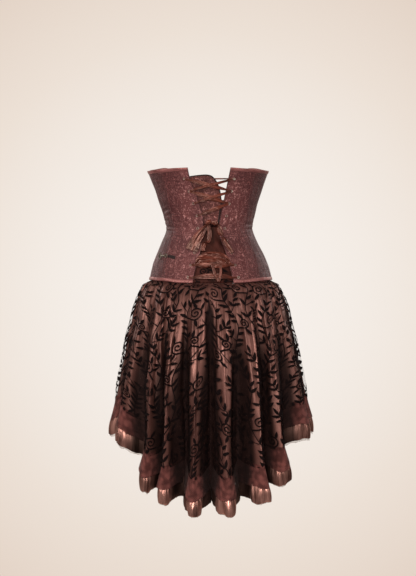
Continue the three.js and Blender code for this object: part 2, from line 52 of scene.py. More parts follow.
# Its top and bottom edges, by degrees from the centre back.
EDGES = {
    "turn": (0, 25, 55, 90, 115, 138, 146, 155, 164, 180),
    "top": (153, 153, 150, 150, 157, 164, 150, 108, 74, 70),
    "bottom": (-151, -151, -145, -142, -143, -146, -148, -150, -153, -156),
}
# x of the two laced edges, by share of the corset's height.
LACED = {
    "share": (0, 0.06, 0.164, 0.268, 0.409, 0.512, 0.582, 0.686, 0.79, 0.895, 1),
    "left": (-47, -44, -36.4, -27, -20.6, -19, -20.6, -29.8, -41, -54, -61.5),
    "right": (60, 56, 47.5, 38.8, 23.2, 21.8, 26, 32.4, 39, 45.6, 52.3),
}
# Seams of one side, in degrees from the centre back.
SEAMS = {
    "share": (0, 0.5, 1),
    "back": (49, 56, 50),
    "side_back": (76, 80, 76),
    "side": (106, 106, 104),
    "side_front": (140, 146, 138),
}
PANELS = (
    # name, seam that it starts at, seam that it ends at, columns, finish
    ("back", None, "back", 64, "brocade"),
    ("side_back", "back", "side_back", 30, "faint_brocade"),
    ("side", "side_back", "side", 30, "panel_satin"),
    ("side_front", "side", "side_front", 36, "panel_satin"),
    ("front", "side_front", None, 44, "brocade"),
)
PANEL_ROWS = 120
PANEL_WALL = 1.6
SATIN_WALL = 0.5
SEAM_GAP = 0.02
# How far a panel turns in at a seam and at a free edge, and how full it is beside a seam.
SEAM_DIP, FREE_DIP, SEAM_FULLNESS = 0.75, 0.35, 0.25
# Width of the painted shade along the laced edges, in millimetres.
LACED_EDGE_PAINTED_SHADE = 2.6
WAIST_RADIUS = 87
BACK_TOP, BACK_BOTTOM = 153, -151

# The least share of a sheet's flat size that its area takes.
LEAST_AREA = 0.3

# The skirt's outline over the crests of its folds, and the depth of the valleys.
SKIRT = {
    "z": (-158, -192, -224, -256, -300, -350, -402, -435, -500, -570, -650, -760),
    "wide": (184, 201, 212, 219, 233, 243, 254, 259, 264, 270, 280, 291),
    "back": (128, 145, 158, 168, 180, 192, 203, 209, 218, 226, 233, 240),
    "front": (118, 132, 142, 150, 158, 166, 173, 178, 184, 188, 193, 198),
    "lean": (0, 0, 1, 1, 1, 2, 2, 2, 3, 3, 3, 3),
    "valley": (6, 8, 11, 15, 21, 30, 40, 46, 56, 62, 65, 68),
}
HEM = {
    "turn": (0, 12, 24, 37, 46, 56, 67, 90, 115, 140, 180),
    "z": (-752, -750, -731, -700, -668, -638, -572, -560, -528, -492, -470),
}
BACK_CRESTS_RIGHT = (8, 29, 43.5, 71)
BACK_CRESTS_LEFT = (293, 321, 332, 350)
FRONT_CRESTS = 8
CREST_ROUNDNESS = {"top": 0.62, "low": 1.0, "from": -250, "to": -560}
HEM_LIFT = 34
OVERLAY_HEM = 100
OVERLAY_SCALLOP = 7
OVERLAY_TUCK = 4
SATIN_HEM = 44
SATIN_CREASES = 1.25
GORES = ("back_right", "front_right", "front_left", "back_left")
FOLDS_PER_GORE = 4
FOLD_STEPS = 26
# Shares of the way down a skirt layer, closer together near the waist.
DOWN_SKIRT = np.linspace(0, 1, 111) ** 1.15


def read(rows, key, at, column):
    """Smooth reading of one column of a table between its rows."""
    keys = np.array(rows[key], float)
    values = np.array(rows[column], float)
    if keys[0] > keys[-1]:
        keys, values = keys[::-1], values[::-1]
    at = np.asarray(at, float)
    i = np.clip(np.searchsorted(keys, at, side="right") - 1, 0, len(keys) - 2)
    last = len(keys) - 1
    span = keys[i + 1] - keys[i]
    t = np.clip((at - keys[i]) / span, 0, 1)
    before, after = np.maximum(i - 1, 0), np.minimum(i + 2, last)
    start = (values[i + 1] - values[before]) / (keys[i + 1] - keys[before]) * span
    end = (values[after] - values[i]) / (keys[after] - keys[i]) * span
    rise = values[i + 1] - values[i]
    return (values[i] + start * t + (3 * rise - 2 * start - end) * t ** 2
            + (start + end - 2 * rise) * t ** 3)


def mix(a, b, share):
    return a + (b - a) * share


def bell(x):
    """A soft bump, 1 at 0 and near 0 beyond 2."""
    return np.exp(-np.square(x))


def closed(ring):
    """The columns of a ring, with the first one again at the end."""
    return np.concatenate([ring, ring[:1]])


def turn_of(angle):
    degrees = np.abs(np.degrees(angle)) % 360
    return np.where(degrees > 180, 360 - degrees, degrees)


def unit(vectors):
    return vectors / np.maximum(np.linalg.norm(vectors, axis=-1, keepdims=True), 1e-9)


def grid_normals(points, ring=False):
    """Normals of a grid of points, from the run of its rows and columns."""
    across = np.gradient(points, axis=0)
    if ring:
        across = (np.roll(points, -1, 0) - np.roll(points, 1, 0)) / 2
    return unit(np.cross(across, np.gradient(points, axis=1)))


def turned_to(aim, normals):
    """The normals of a grid, all turned over where they point away from an aim on the whole."""
    return normals if np.einsum("ijk,ijk->ij", normals, aim).mean() > 0 else -normals


def grid_faces(columns, rows, ring=False):
    """Four-cornered faces of a grid of points that is stored column by column."""
    spans = columns if ring else columns - 1
    i, j = np.meshgrid(np.arange(spans), np.arange(rows - 1), indexing="ij")
    a, b = i * rows + j, (i + 1) % columns * rows + j
    return np.stack([a, b, b + 1, a + 1], -1).reshape(-1, 4)


def rim_faces(columns, rows, ring):
    """Faces that join the borders of two grids, one stored after the other."""
    index = np.arange(columns * rows).reshape(columns, rows)
    if ring:
        loops = [index[:, 0], index[:, -1]]
    else:
        loops = [np.concatenate([index[:-1, 0], index[-1, :-1], index[:0:-1, -1], index[0, :0:-1]])]
    after = [np.roll(loop, -1) for loop in loops]
    return np.concatenate([np.stack([a, b, b + index.size, a + index.size], -1)
                           for a, b in zip(loops, after)])


def add_object(name, data):
    made = bpy.data.objects.new(name, data)
    bpy.context.collection.objects.link(made)
    return made


def mesh_object(name, points, faces, uv, material, deep=None):
    """A mesh from points in millimetres, with the cloth's own places as its UV map, in metres.
    deep says how far each point lies down in a fold, or how near it lies to a laced edge, from 0 to 1. The
    materials paint shade by it."""
    mesh = bpy.data.meshes.new(name)
    mesh.from_pydata((points * MM).tolist(), [], faces if isinstance(faces, list) else faces.tolist())
    corners = np.empty(len(mesh.loops), int)
    mesh.loops.foreach_get("vertex_index", corners)
    mesh.uv_layers.new(name="cloth").data.foreach_set("uv", (uv[corners] * MM).ravel())
    if deep is not None:
        depths = np.asarray(deep, float).ravel()
        mesh.attributes.new("deep", "FLOAT", "POINT").data.foreach_set("value", depths)
    mesh.polygons.foreach_set("use_smooth", [True] * len(mesh.polygons))
    mesh.update()
    mesh.materials.append(MATERIALS[material])
    return add_object(name, mesh)


def lengths(points):
    """How long each row and each column of a grid of points is."""
    rows = np.linalg.norm(np.diff(points, axis=0), axis=-1).sum(0)
    columns = np.linalg.norm(np.diff(points, axis=1), axis=-1).sum(1)
    return rows, columns


def cloth_places(points, straight=False):
    """Place of each grid point on its cloth, in millimetres along its row and down its column.
    In a straight piece the threads run down its columns."""
    step = np.linalg.norm(np.diff(points, axis=0), axis=-1)
    if straight:
        step = np.broadcast_to(step.mean(1, keepdims=True), step.shape)
    along = np.concatenate([np.zeros((1, points.shape[1])), np.cumsum(step, 0)])
    along -= along[-1:] / 2
    drop = np.linalg.norm(np.diff(points, axis=1), axis=-1)
    down = np.concatenate([np.zeros((points.shape[0], 1)), np.cumsum(drop, 1)], 1)
    return np.stack([along, down], -1)


def area_of(points):
    a = points[1:, :-1] - points[:-1, :-1]
    b = points[:-1, 1:] - points[:-1, :-1]
    return float(np.linalg.norm(np.cross(a, b), axis=-1).sum())


def shell(name, outer, thickness, material, ring=False, inward=None, deep=None, straight=False):
    """A closed cloth shell: the outer grid, the same grid moved inwards, and the rim between them."""
    columns, rows = outer.shape[:2]
    if inward is None:
        inward = turned_to(outer.reshape(-1, 3).mean(0) - outer, grid_normals(outer, ring))
    layer = grid_faces(columns, rows, ring)
    faces = np.concatenate([layer, layer + columns * rows, rim_faces(columns, rows, ring)])
    points = np.concatenate([outer, outer + inward * thickness]).reshape(-1, 3)
    uv = np.tile(cloth_places(outer, straight or ring).reshape(-1, 2), (2, 1))
    if deep is not None:
        deep = np.tile(np.broadcast_to(deep, (columns, rows)).ravel(), 2)
    piece = mesh_object(name, points, faces, uv, material, deep)
    fix_normals(piece)
    return piece


def open_sheet(name, grid, material, ring=False, deep=None):
    """A single layer of very thin cloth."""
    columns, rows = grid.shape[:2]
    if deep is not None:
        deep = np.broadcast_to(deep, (columns, rows))
    return mesh_object(name, grid.reshape(-1, 3), grid_faces(columns, rows, ring),
                       cloth_places(grid, ring).reshape(-1, 2), material, deep)


def fix_normals(piece):
    """Turns the faces of a closed piece outwards."""
    work = bmesh.new()
    work.from_mesh(piece.data)
    bmesh.ops.recalc_face_normals(work, faces=work.faces)
    work.to_mesh(piece.data)
    work.free()


def stands_for(piece, slot, *nodes):
    """Lets a piece ride on the part, in place of plain solids. slot is not used."""
    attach(piece, "root")
    if nodes:
        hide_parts(*nodes)


def cloth(piece, outer, slot, node, flat=None, area=None):
    """Measures a piece's flat size from its outer grid, and lets it stand in place of one solid."""
    rows, columns = lengths(outer)
    width, length = flat or (float(rows.max()) * MM, float(columns.max()) * MM)
    if flat is None:
        area = min(area_of(outer) * MM * MM, width * length)
        area = max(area, LEAST_AREA * width * length)
    stands_for(piece, slot, node)


class Nodes:
    """Short names for building one procedural material."""

    def __init__(self, name):
        self.material = bpy.data.materials.new(name)
        self.material.use_nodes = True
        self.tree = self.material.node_tree
        self.shader = self.tree.nodes["Principled BSDF"]
        self.place = self.node("TexCoord").outputs["Object"]
        self.cloth = self.node("UVMap", uv_map="cloth").outputs["UV"]
        # deep: the mask by which the materials paint shade in folds and at laced edges
        self.deep = self.node("Attribute", attribute_name="deep").outputs["Fac"]

    def set(self, **values):
        for key, value in values.items():
            self.shader.inputs[key.replace("_", " ")].default_value = value

    def link(self, source, socket):
        if isinstance(source, (int, float, tuple)):
            socket.default_value = source
        else:
            self.tree.links.new(source, socket)

    def node(self, kind, inputs=None, **settings):
        """A node with its settings, and its inputs by name: numbers, tuples or outputs of other nodes."""
        made = self.tree.nodes.new("ShaderNode" + kind)
        for key, value in settings.items():
            setattr(made, key, value)
        for key, value in (inputs or {}).items():
            self.link(value, made.inputs[key])
        return made

    def math(self, operation, a, b=0.0, c=0.0):
        return self.node("Math", {0: a, 1: b, 2: c}, operation=operation).outputs[0]

    def times(self, a, b):
        return self.math("MULTIPLY", a, b)

    def vary(self, source, factor, base):
        return self.math("MULTIPLY_ADD", source, factor, base)

    def split(self, vector):
        return self.node("SeparateXYZ", {0: vector}).outputs[:]

    def scaled(self, vector, scale):
        return self.node("Mapping", {"Vector": vector, "Scale": scale}).outputs[0]

    def noise(self, vector, scale, detail=3.0, roughness=0.5, distortion=0.0):
        inputs = {"Vector": vector, "Scale": scale, "Detail": detail, "Roughness": roughness,
                  "Distortion": distortion}
        return self.node("TexNoise", inputs).outputs["Fac"]

    def cells(self, vector, scale, feature="F1", randomness=1.0):
        inputs = {"Vector": vector, "Scale": scale, "Randomness": randomness}
        return self.node("TexVoronoi", inputs, feature=feature).outputs["Distance"]

    def steps(self, source, low, high, to_low=0.0, to_high=1.0):
        """A soft step: to_low where the source is below low, to_high where it is above high."""
        inputs = {"Value": source, "From Min": low, "From Max": high, "To Min": to_low, "To Max": to_high}
        return self.node("MapRange", inputs, interpolation_type="SMOOTHSTEP").outputs["Result"]

    def blend(self, factor, first, second):
        first, second = ((*v, 1) if isinstance(v, tuple) else v for v in (first, second))
        inputs = {"Factor": factor, "A": first, "B": second}
        return self.node("Mix", inputs, data_type="RGBA").outputs["Result"]

    def bump(self, height, strength, distance=0.001, under=None):
        inputs = {"Height": height, "Strength": strength, "Distance": distance}
        if under is not None:
            inputs["Normal"] = under
        return self.node("Bump", inputs).outputs["Normal"]

    def finish(self, colour, roughness, normal, alpha=None):
        inputs = {"Base Color": colour, "Roughness": roughness, "Normal": normal, "Alpha": alpha}
        for key, source in inputs.items():
            if source is not None:
                self.link(source, self.shader.inputs[key])
        return self.material


def sine(n, source, per_metre):
    """A sine of a place, with so many turns a metre."""
    return n.math("SINE", n.times(source, per_metre * 2 * math.pi))


def satin_weave(n, threads=900):
    """Fine long floats of a satin weave, as a height."""
    across, _, _ = n.split(n.cloth)
    fibres = n.noise(n.scaled(n.cloth, (threads * 2.2, threads * 0.12, 1)), 1.0, 2.0)
    return n.math("ADD", fibres, n.times(sine(n, across, threads), 0.12))


# Half the damask's repeat in metres, across and down.
DAMASK_REPEAT = (0.024, 0.052)


def damask(n):
    """A small all-over damask: curling leaves mirrored in a repeat, 0 ground and 1 figure."""
    u, v, _ = n.split(n.cloth)
    across, down = n.math("PINGPONG", u, DAMASK_REPEAT[0]), n.math("PINGPONG", v, DAMASK_REPEAT[1])
    wander = n.times(n.noise(n.cloth, 22, 1.0), 0.03)
    folded = n.node("CombineXYZ", {0: across, 1: down, 2: wander}).outputs[0]
    curls = n.math("ABSOLUTE", n.math("SUBTRACT", n.noise(folded, 80, 1.4, 0.5, 2.2), 0.5))
    leaves = n.steps(n.noise(folded, 150, 1.0, 0.4, 1.4), 0.57, 0.63)
    return n.math("MAXIMUM", n.steps(curls, 0.010, 0.040, 1.0, 0.0), leaves)


def brocade(name, ground_dark, ground_light, thread_dark, thread_light):
    """Damask whose raised threads get painted glints in clusters. Painted light makes it brighter near the
    middle and duller to the sides, and painted shade darkens it at the laced edges.
    """
    n = Nodes(name)
    n.set(Specular_IOR_Level=0.35, Specular_Tint=(1, 0.55, 0.52, 1), Sheen_Weight=0.03, Sheen_Roughness=0.4,
          Sheen_Tint=(0.95, 0.55, 0.53, 1))
    figure = damask(n)
    cloudy = n.noise(n.place, 11, 4, 0.6)
    weave = satin_weave(n, 1100)
    # painted glint: clusters of thread coloured brighter, like highlights
    glint = n.noise(n.scaled(n.cloth, (1, 0.6, 1)), 130, 5, 0.72)
    x, _, _ = n.split(n.place)
    # painted light: brighter within 55 mm of the middle, darker from 120 mm out to the sides
    painted_light_middle = n.steps(n.math("ABSOLUTE", x), 0.055, 0.12, 1.0, 0.22)
    ground = n.blend(n.times(n.steps(cloudy, 0.3, 0.7), painted_light_middle), ground_dark, ground_light)
    bright = n.times(n.steps(glint, 0.46, 0.66), n.steps(cloudy, 0.3, 0.62, 0.3, 1.0))
    thread = n.blend(n.times(bright, painted_light_middle), thread_dark, thread_light)
    colour = n.blend(n.times(figure, n.steps(weave, 0.1, 0.6, 0.7, 1.0)), ground, thread)
    # painted shade along the laced edges
    colour = n.blend(n.steps(n.deep, 0.35, 0.8, 0.0, 0.8), colour, (0.018, 0.005, 0.005))
    rough = n.vary(figure, -0.16, 0.48)
    normal = n.bump(weave, 0.25, 0.0002, n.bump(figure, 0.6, 0.0005))
    return n.finish(colour, n.vary(cloudy, 0.1, rough), normal)


def panel_satin(name):
    n = Nodes(name)
    n.set(Specular_IOR_Level=0.3, Specular_Tint=(1, 0.72, 0.72, 1), Sheen_Weight=0.05, Sheen_Roughness=0.35,
          Sheen_Tint=(0.85, 0.6, 0.62, 1))
    weave = satin_weave(n, 1200)
    cloudy = n.noise(n.place, 14, 4, 0.6)
    streaks = n.noise(n.scaled(n.cloth, (160, 9, 1)), 1.0, 3)
    faint = n.times(damask(n), 0.35)
    colour = n.blend(n.steps(cloudy, 0.3, 0.7), (0.034, 0.014, 0.014), (0.080, 0.032, 0.032))
    colour = n.blend(n.times(streaks, faint), colour, (0.34, 0.15, 0.15))
    normal = n.bump(weave, 0.2, 0.0002, n.bump(streaks, 0.18, 0.0008))
    return n.finish(colour, n.vary(streaks, 0.16, 0.38), normal)


def satin(name, dark, light, rough, sheen, gloss, crinkle, scale, shade):
    """Satin with a share of metal-like gloss and crinkles at a scale. Its colour runs from dark to light
    with the crinkles, painted shade and painted highlight mixed with random tone, and shade is painted shade
    down in its folds.
    """
    n = Nodes(name)
    n.set(Specular_IOR_Level=0.6 if gloss else 0.1, Specular_Tint=(1, 0.62, 0.52, 1), Metallic=gloss,
          Sheen_Weight=sheen, Sheen_Roughness=0.35, Sheen_Tint=(1, 0.78, 0.7, 1))
    weave = satin_weave(n, 1000)
    cloudy = n.noise(n.place, 17, 3)
    folds = n.noise(n.scaled(n.cloth, scale), 1.0, 4, 0.55)
    # painted light and shade on the crinkles, mixed with random tone
    painted_crinkle_light_and_tone = n.vary(folds, 0.65, n.times(cloudy, 0.35))
    colour = n.blend(n.steps(painted_crinkle_light_and_tone, 0.32, 0.68), dark, light)
    roughness = n.vary(cloudy, 0.12, rough)
    # painted shade down in the folds
    if shade:
        colour = n.blend(n.steps(n.deep, 0.14, 0.52, 0.0, shade), colour, (0.003, 0.0015, 0.001))
        roughness = n.vary(n.deep, 0.5, roughness)
    return n.finish(colour, roughness, n.bump(weave, 0.15, 0.0002, n.bump(folds, crinkle, 0.004)))


def net(name):
    """Sheer net: open hexagons of fine thread. Down in the folds it turns nearly opaque and near black,
    partly for the gathered net and partly as painted shade.
    """
    n = Nodes(name)
    n.set(Specular_IOR_Level=0.05)
    holes = n.cells(n.scaled(n.cloth, (1, 1.15, 1)), 620, "DISTANCE_TO_EDGE", 0.15)
    cloudy = n.noise(n.place, 30, 2)
    colour = n.blend(cloudy, (0.007, 0.003, 0.003), (0.025, 0.011, 0.009))
    thread = n.steps(holes, 0.05, 0.13, 0.36, 0.03)
    # nearly opaque in the folds: partly gathered net, partly painted shade
    gathered = n.steps(n.deep, 0.16, 0.6, 0.0, 0.9)
    alpha = n.math("MAXIMUM", thread, gathered)
    normal = n.bump(n.math("SUBTRACT", 1.0, holes), 0.3, 0.0002)
    return n.finish(colour, n.vary(cloudy, 0.2, 0.6), normal, alpha)


def flock(name):
    n = Nodes(name)
    n.set(Specular_IOR_Level=0.05)
    nap = n.noise(n.place, 2600, 2)
    cloudy = n.noise(n.place, 60, 2)
    colour = n.blend(cloudy, (0.003, 0.0015, 0.0015), (0.008, 0.004, 0.004))
    return n.finish(colour, n.vary(nap, 0.2, 0.75), n.bump(nap, 0.5, 0.0004))


def lace(name, dark, light, hole_low, hole_high, open_alpha):
    """Lace: small flowers of dense thread on an open ground."""
    n = Nodes(name)
    n.set(Specular_IOR_Level=0.15, Specular_Tint=(1, 0.7, 0.62, 1), Sheen_Weight=0.03, Sheen_Roughness=0.6,
          Sheen_Tint=(1, 0.8, 0.75, 1))
    u, v, _ = n.split(n.cloth)
    ripple = n.times(n.times(sine(n, u, 210), sine(n, v, 190)), 0.2)
    petals = n.math("ADD", n.cells(n.cloth, 78, "SMOOTH_F1", 0.8), ripple)
    dense = n.steps(petals, 0.34, 0.52, 1.0, 0.0)
    thread = n.steps(n.cells(n.cloth, 520, "DISTANCE_TO_EDGE", 0.6), hole_low, hole_high, 1.0, 0.0)
    cover = n.math("MAXIMUM", dense, thread)
    cloudy = n.noise(n.place, 40, 3)
    colour = n.blend(n.vary(dense, 0.65, n.times(cloudy, 0.35)), dark, light)
    # painted shade down in the folds
    colour = n.blend(n.steps(n.deep, 0.12, 0.6, 0.0, 0.93), colour, (0.004, 0.002, 0.002))
    alpha = n.vary(cover, 1.0 - open_alpha, open_alpha)
    return n.finish(colour, n.vary(cloudy, 0.15, 0.75), n.bump(cover, 0.6, 0.0006), alpha)


def dark_trim(name):
    n = Nodes(name)
    n.set(Specular_IOR_Level=0.2, Sheen_Weight=0.03)
    u, v, _ = n.split(n.cloth)
    twist = n.math("ADD", sine(n, v, 620), sine(n, u, 500))
    cloudy = n.noise(n.place, 50, 3)
    colour = n.blend(cloudy, (0.007, 0.004, 0.004), (0.026, 0.013, 0.011))
    return n.finish(colour, n.vary(cloudy, 0.25, 0.42), n.bump(twist, 0.3, 0.0003))


def antique_metal(name, bright, dull):
    n = Nodes(name)
    n.set(Metallic=1.0, Specular_IOR_Level=0.5)
    tarnish = n.noise(n.place, 420, 4, 0.6)
    scratches = n.noise(n.scaled(n.place, (300, 2400, 300)), 1.0, 2)
    colour = n.blend(n.steps(tarnish, 0.35, 0.7), bright, dull)
    rough = n.vary(tarnish, 0.4, 0.16)
    return n.finish(colour, rough, n.bump(scratches, 0.15, 0.0003))


def plain_floor(name):
    n = Nodes(name)
    n.set(Specular_IOR_Level=0.1)
    cloudy = n.noise(n.place, 1.5, 2)
    colour = n.blend(cloudy, (0.86, 0.80, 0.74), (0.89, 0.83, 0.77))
    return n.finish(colour, n.vary(cloudy, 0.1, 0.8), n.bump(cloudy, 0.05))


LOOKS = {
    # brocade: dark and light of its ground, spread by random tone and painted light, then of its threads,
    # whose light is painted glint
    "brocade": (brocade, (0.042, 0.011, 0.012), (0.094, 0.026, 0.026), (0.13, 0.042, 0.040),
                (0.56, 0.27, 0.25)),
    # the modesty panel's brocade: a darker copy, painted shade behind the lacing
    "tongue_brocade_painted_shade": (brocade, (0.026, 0.006, 0.005), (0.075, 0.020, 0.018), (0.09, 0.028, 0.024),
                       (0.50, 0.21, 0.18)),
    "faint_brocade": (brocade, (0.036, 0.013, 0.013), (0.078, 0.027, 0.027), (0.098, 0.034, 0.034),
                      (0.25, 0.11, 0.105)),
    # satin: dark and light, its crinkles in painted shade and painted highlight, roughness, sheen, gloss,
    # crinkle, its scale and painted shade in folds
    "binding": (satin, (0.105, 0.028, 0.027), (0.25, 0.090, 0.085), 0.27, 0.2, 0.15, 0.2, (30, 120, 1), 0),
    "ribbon": (satin, (0.016, 0.003, 0.002), (0.135, 0.025, 0.013), 0.27, 0.0, 0.1, 0.6, (90, 22, 1), 0),
    # the yoke's satin, very dark: painted shade in the gap of the lacing
    "yoke_satin_painted_shade": (satin, (0.008, 0.002, 0.0015), (0.06, 0.016, 0.012), 0.5, 0.0, 0.0, 0.6, (60, 22, 1), 0),
    "skirt_satin": (satin, (0.070, 0.026, 0.021), (0.188, 0.077, 0.062), 0.25, 0.03, 0.32, 0.25,
                    (40, 3.5, 1), 0.97),
    "ruffle_satin": (satin, (0.045, 0.016, 0.012), (0.41, 0.20, 0.16), 0.19, 0.04, 0.7, 0.85,
                     (60, 8, 1), 0.92),
    "panel_satin": (panel_satin,),
    "skirt_net": (net,),
    "skirt_flock": (flock,),
    # lace: dark, light, where its threads end, and how much its holes cover
    "lace": (lace, (0.036, 0.010, 0.009), (0.150, 0.048, 0.041), 0.10, 0.2, 0.75),
    "edging_lace": (lace, (0.32, 0.27, 0.25), (0.72, 0.67, 0.63), 0.08, 0.16, 0.12),
    "dark_trim": (dark_trim,),
    "antique_metal": (antique_metal, (0.50, 0.44, 0.36), (0.15, 0.11, 0.08)),
    # a darker copy of the metal for eyelets that don't glint: painted shade
    "eyelet_metal_painted_shade": (antique_metal, (0.36, 0.27, 0.22), (0.07, 0.04, 0.032)),
    "floor": (plain_floor,),
}


MATERIALS = {name: make(name, *look) for name, (make, *look) in LOOKS.items()}

# Soft wrinkles of the corset: degrees from the centre back (left below 0), height, half length and half
# height in millimetres, depth, and how much one end hangs lower than the other.
WRINKLES = (
    # turn, z, long, high, depth, tilt
    (-70, 42, 30, 3.0, 2.2, 0.16), (-64, 30, 26, 2.6, 1.8, 0.12), (-62, -2, 34, 3.2, 2.2, -0.06),
    (-66, -12, 36, 2.8, 2.0, -0.08), (-80, 16, 24, 2.6, 1.6, 0.05), (-44, 8, 22, 2.4, 1.3, 0.18),
    (-52, -26, 26, 4.0, 1.4, -0.2), (64, 6, 34, 3.2, 2.0, 0.07), (72, -8, 30, 3.0, 1.8, 0.05),
    (58, -20, 28, 3.4, 1.5, 0.14),
    (82, 22, 26, 2.8, 0.9, -0.08), (46, 14, 22, 2.6, 0.8, -0.2), (38, 62, 20, 4.5, 0.7, -0.35),
    (-96, 2, 30, 3.2, 1.2, 0.04), (100, -4, 32, 3.2, 1.2, -0.05), (-118, 8, 28, 3.6, 1.0, 0.12),
    (124, 2, 30, 3.4, 1.0, -0.1), (-146, -4, 26, 3.0, 0.9, 0.08), (150, 6, 26, 3.2, 0.9, -0.08),
    (-60, 92, 26, 6.0, 0.8, 0.4), (70, 104, 24, 6.5, 0.8, -0.3), (30, -96, 22, 5.0, 0.9, 0.3),
    (-34, -104, 24, 5.0, 0.9, -0.25), (76, -118, 30, 6.0, 0.8, 0.12), (-84, -112, 28, 6.0, 0.8, -0.1),
)
# Bones in their stitched channels: degrees from the centre back.
BONES = (38, 66, 91, 122, 160)
BONE = {"half_width": 4.2, "rise": 0.45, "stitch": 0.5}
QUILT_RISE = 0.16


def outline(table, angle, z):
    """Half width, depth to the back or front, and sideways lean of an outline at a height."""
    wide, back, front, lean = (read(table, "z", z, key) for key in ("wide", "back", "front", "lean"))
    return wide, np.where(np.cos(angle) > 0, back, front), lean


def bodice_point(angle, z, inset=0.0):
    """The corset's outline at an angle from the centre back, moved inwards by inset."""
    wide, deep, lean = outline(BODICE, angle, z)
    level = 0 * wide * angle
    normal = unit(np.stack([np.sin(angle) / wide, -np.cos(angle) / deep, level], -1))
    place = np.stack([lean + wide * np.sin(angle), -deep * np.cos(angle), z + level], -1)
    return place - normal * np.asarray(inset)[..., None]


def angle_at_x(x, z):
    return np.arcsin((x - read(BODICE, "z", z, "lean")) / read(BODICE, "z", z, "wide"))


def on_back(x, z, lift):
    """A place on the back by x and height, lifted off the corset, and the surface's normal."""
    x, z, lift = np.broadcast_arrays(*(np.asarray(a, float) for a in (x, z, lift)))
    angle = angle_at_x(x, z)
    point = bodice_point(angle, z, -lift)
    return point, unit(point - bodice_point(angle, z, 1 - lift))


def edge_z(angle, edge):
    return read(EDGES, "turn", turn_of(angle), edge)


def edges_z(angle, share):
    """Height at a share of the way from the corset's bottom edge to its top edge."""
    return mix(edge_z(angle, "bottom"), edge_z(angle, "top"), share)


def laced_x(side, share):
    return read(LACED, "share", share, "left" if side < 0 else "right")


def laced_angle(side, share):
    return angle_at_x(laced_x(side, share), mix(BACK_BOTTOM, BACK_TOP, share))


def panel_angles(side, start, end, columns, share):
    """Angles of a panel's columns, at each share of the height."""
    seam = lambda key: side * np.radians(read(SEAMS, "share", share, key))
    trim = side * SEAM_GAP / 2 / WAIST_RADIUS
    first = seam(start) + trim if start else laced_angle(side, share)
    last = (seam(end) if end else side * math.pi + 0 * share) - trim
    return mix(first[None], last[None], np.linspace(0, 1, columns + 1)[:, None])


def bodice_relief(angle, z):
    """How far the corset stands out at a place: its bones, their stitched edges and its wrinkles."""
    degrees = np.degrees(angle)
    turn = turn_of(angle)
    relief = np.zeros_like(degrees)
    around = read(BODICE, "z", z, "wide") * math.pi / 180
    for bone in BONES:
        away = np.abs(turn - bone) * around
        relief += BONE["rise"] * bell(away / BONE["half_width"] / 0.8)
        relief -= BONE["stitch"] * bell((away - BONE["half_width"] - 1) / 0.9)
    for wrinkle_turn, height, long, high, depth, tilt in WRINKLES:
        along = (degrees - wrinkle_turn) * around
        up = z - height - tilt * along
        relief -= depth * bell(along / long) * bell(up / high)
        relief += 0.45 * depth * bell(along / long) * bell((up - 2 * high) / high)
    waves = np.sin(degrees * 0.41 + z * 0.045) * np.sin(z * 0.071 + degrees * 0.13)
    return relief + QUILT_RISE * waves * 2


def corset_panels():
    share = np.linspace(0, 1, PANEL_ROWS + 1)
    made = []
    for side_name, side in SIDES.items():
        for name, start, end, columns, material in PANELS:
            angle = panel_angles(side, start, end, columns, share)
            z = edges_z(angle, share)
            seam = seam_dip(columns, bool(start), bool(end))
            outer = bodice_point(angle, z, seam[:, None] - bodice_relief(angle, z))
            inward = unit(bodice_point(angle, z, 1) - bodice_point(angle, z))
            from_edge = np.cumsum(np.linalg.norm(np.diff(outer, axis=0, prepend=outer[:1]), axis=-1), 0)
            # painted shade along the laced edges of the back panels
            deep = bell(from_edge / LACED_EDGE_PAINTED_SHADE) if start is None else None
            piece = shell(f"panel_{name}_{side_name}", outer, PANEL_WALL, material, inward=inward, deep=deep)
            slot = "brocade" if material == "brocade" else "panel_satin"
            cloth(piece, outer, slot, f"corset_{name}_{side_name}")
            made.append(piece)
    return made


def seam_dip(columns, at_start, at_end):
    """How far a panel's edge turns in at its seams, and how full it is just beside them."""
    place = np.arange(columns + 1, dtype=float)
    dip = np.zeros(columns + 1)
    for used, away in ((at_start, place), (at_end, columns - place)):
        if used:
            dip += SEAM_DIP * bell(away / 0.9) - SEAM_FULLNESS * bell((away - 3) / 1.5)
        else:
            dip += FREE_DIP * bell(away / 0.8)
    return dip


# Section of a folded binding: how far down from the edge, and how far out.
BINDING_OUTLINE = ((8.2, 0.35), (7.6, 1.0), (6.0, 1.45), (4.0, 1.6), (2.0, 1.7), (0.4, 1.6), (-0.7, 0.9),
                   (-1.0, -0.6), (-0.7, -2.0), (0.6, -2.7), (4.0, -2.6), (7.5, -2.5))
# Mean radius by which its puckers are spaced, and how much of the corset's relief shows through it.
BINDING = {"radius": 130, "relief": 0.6}


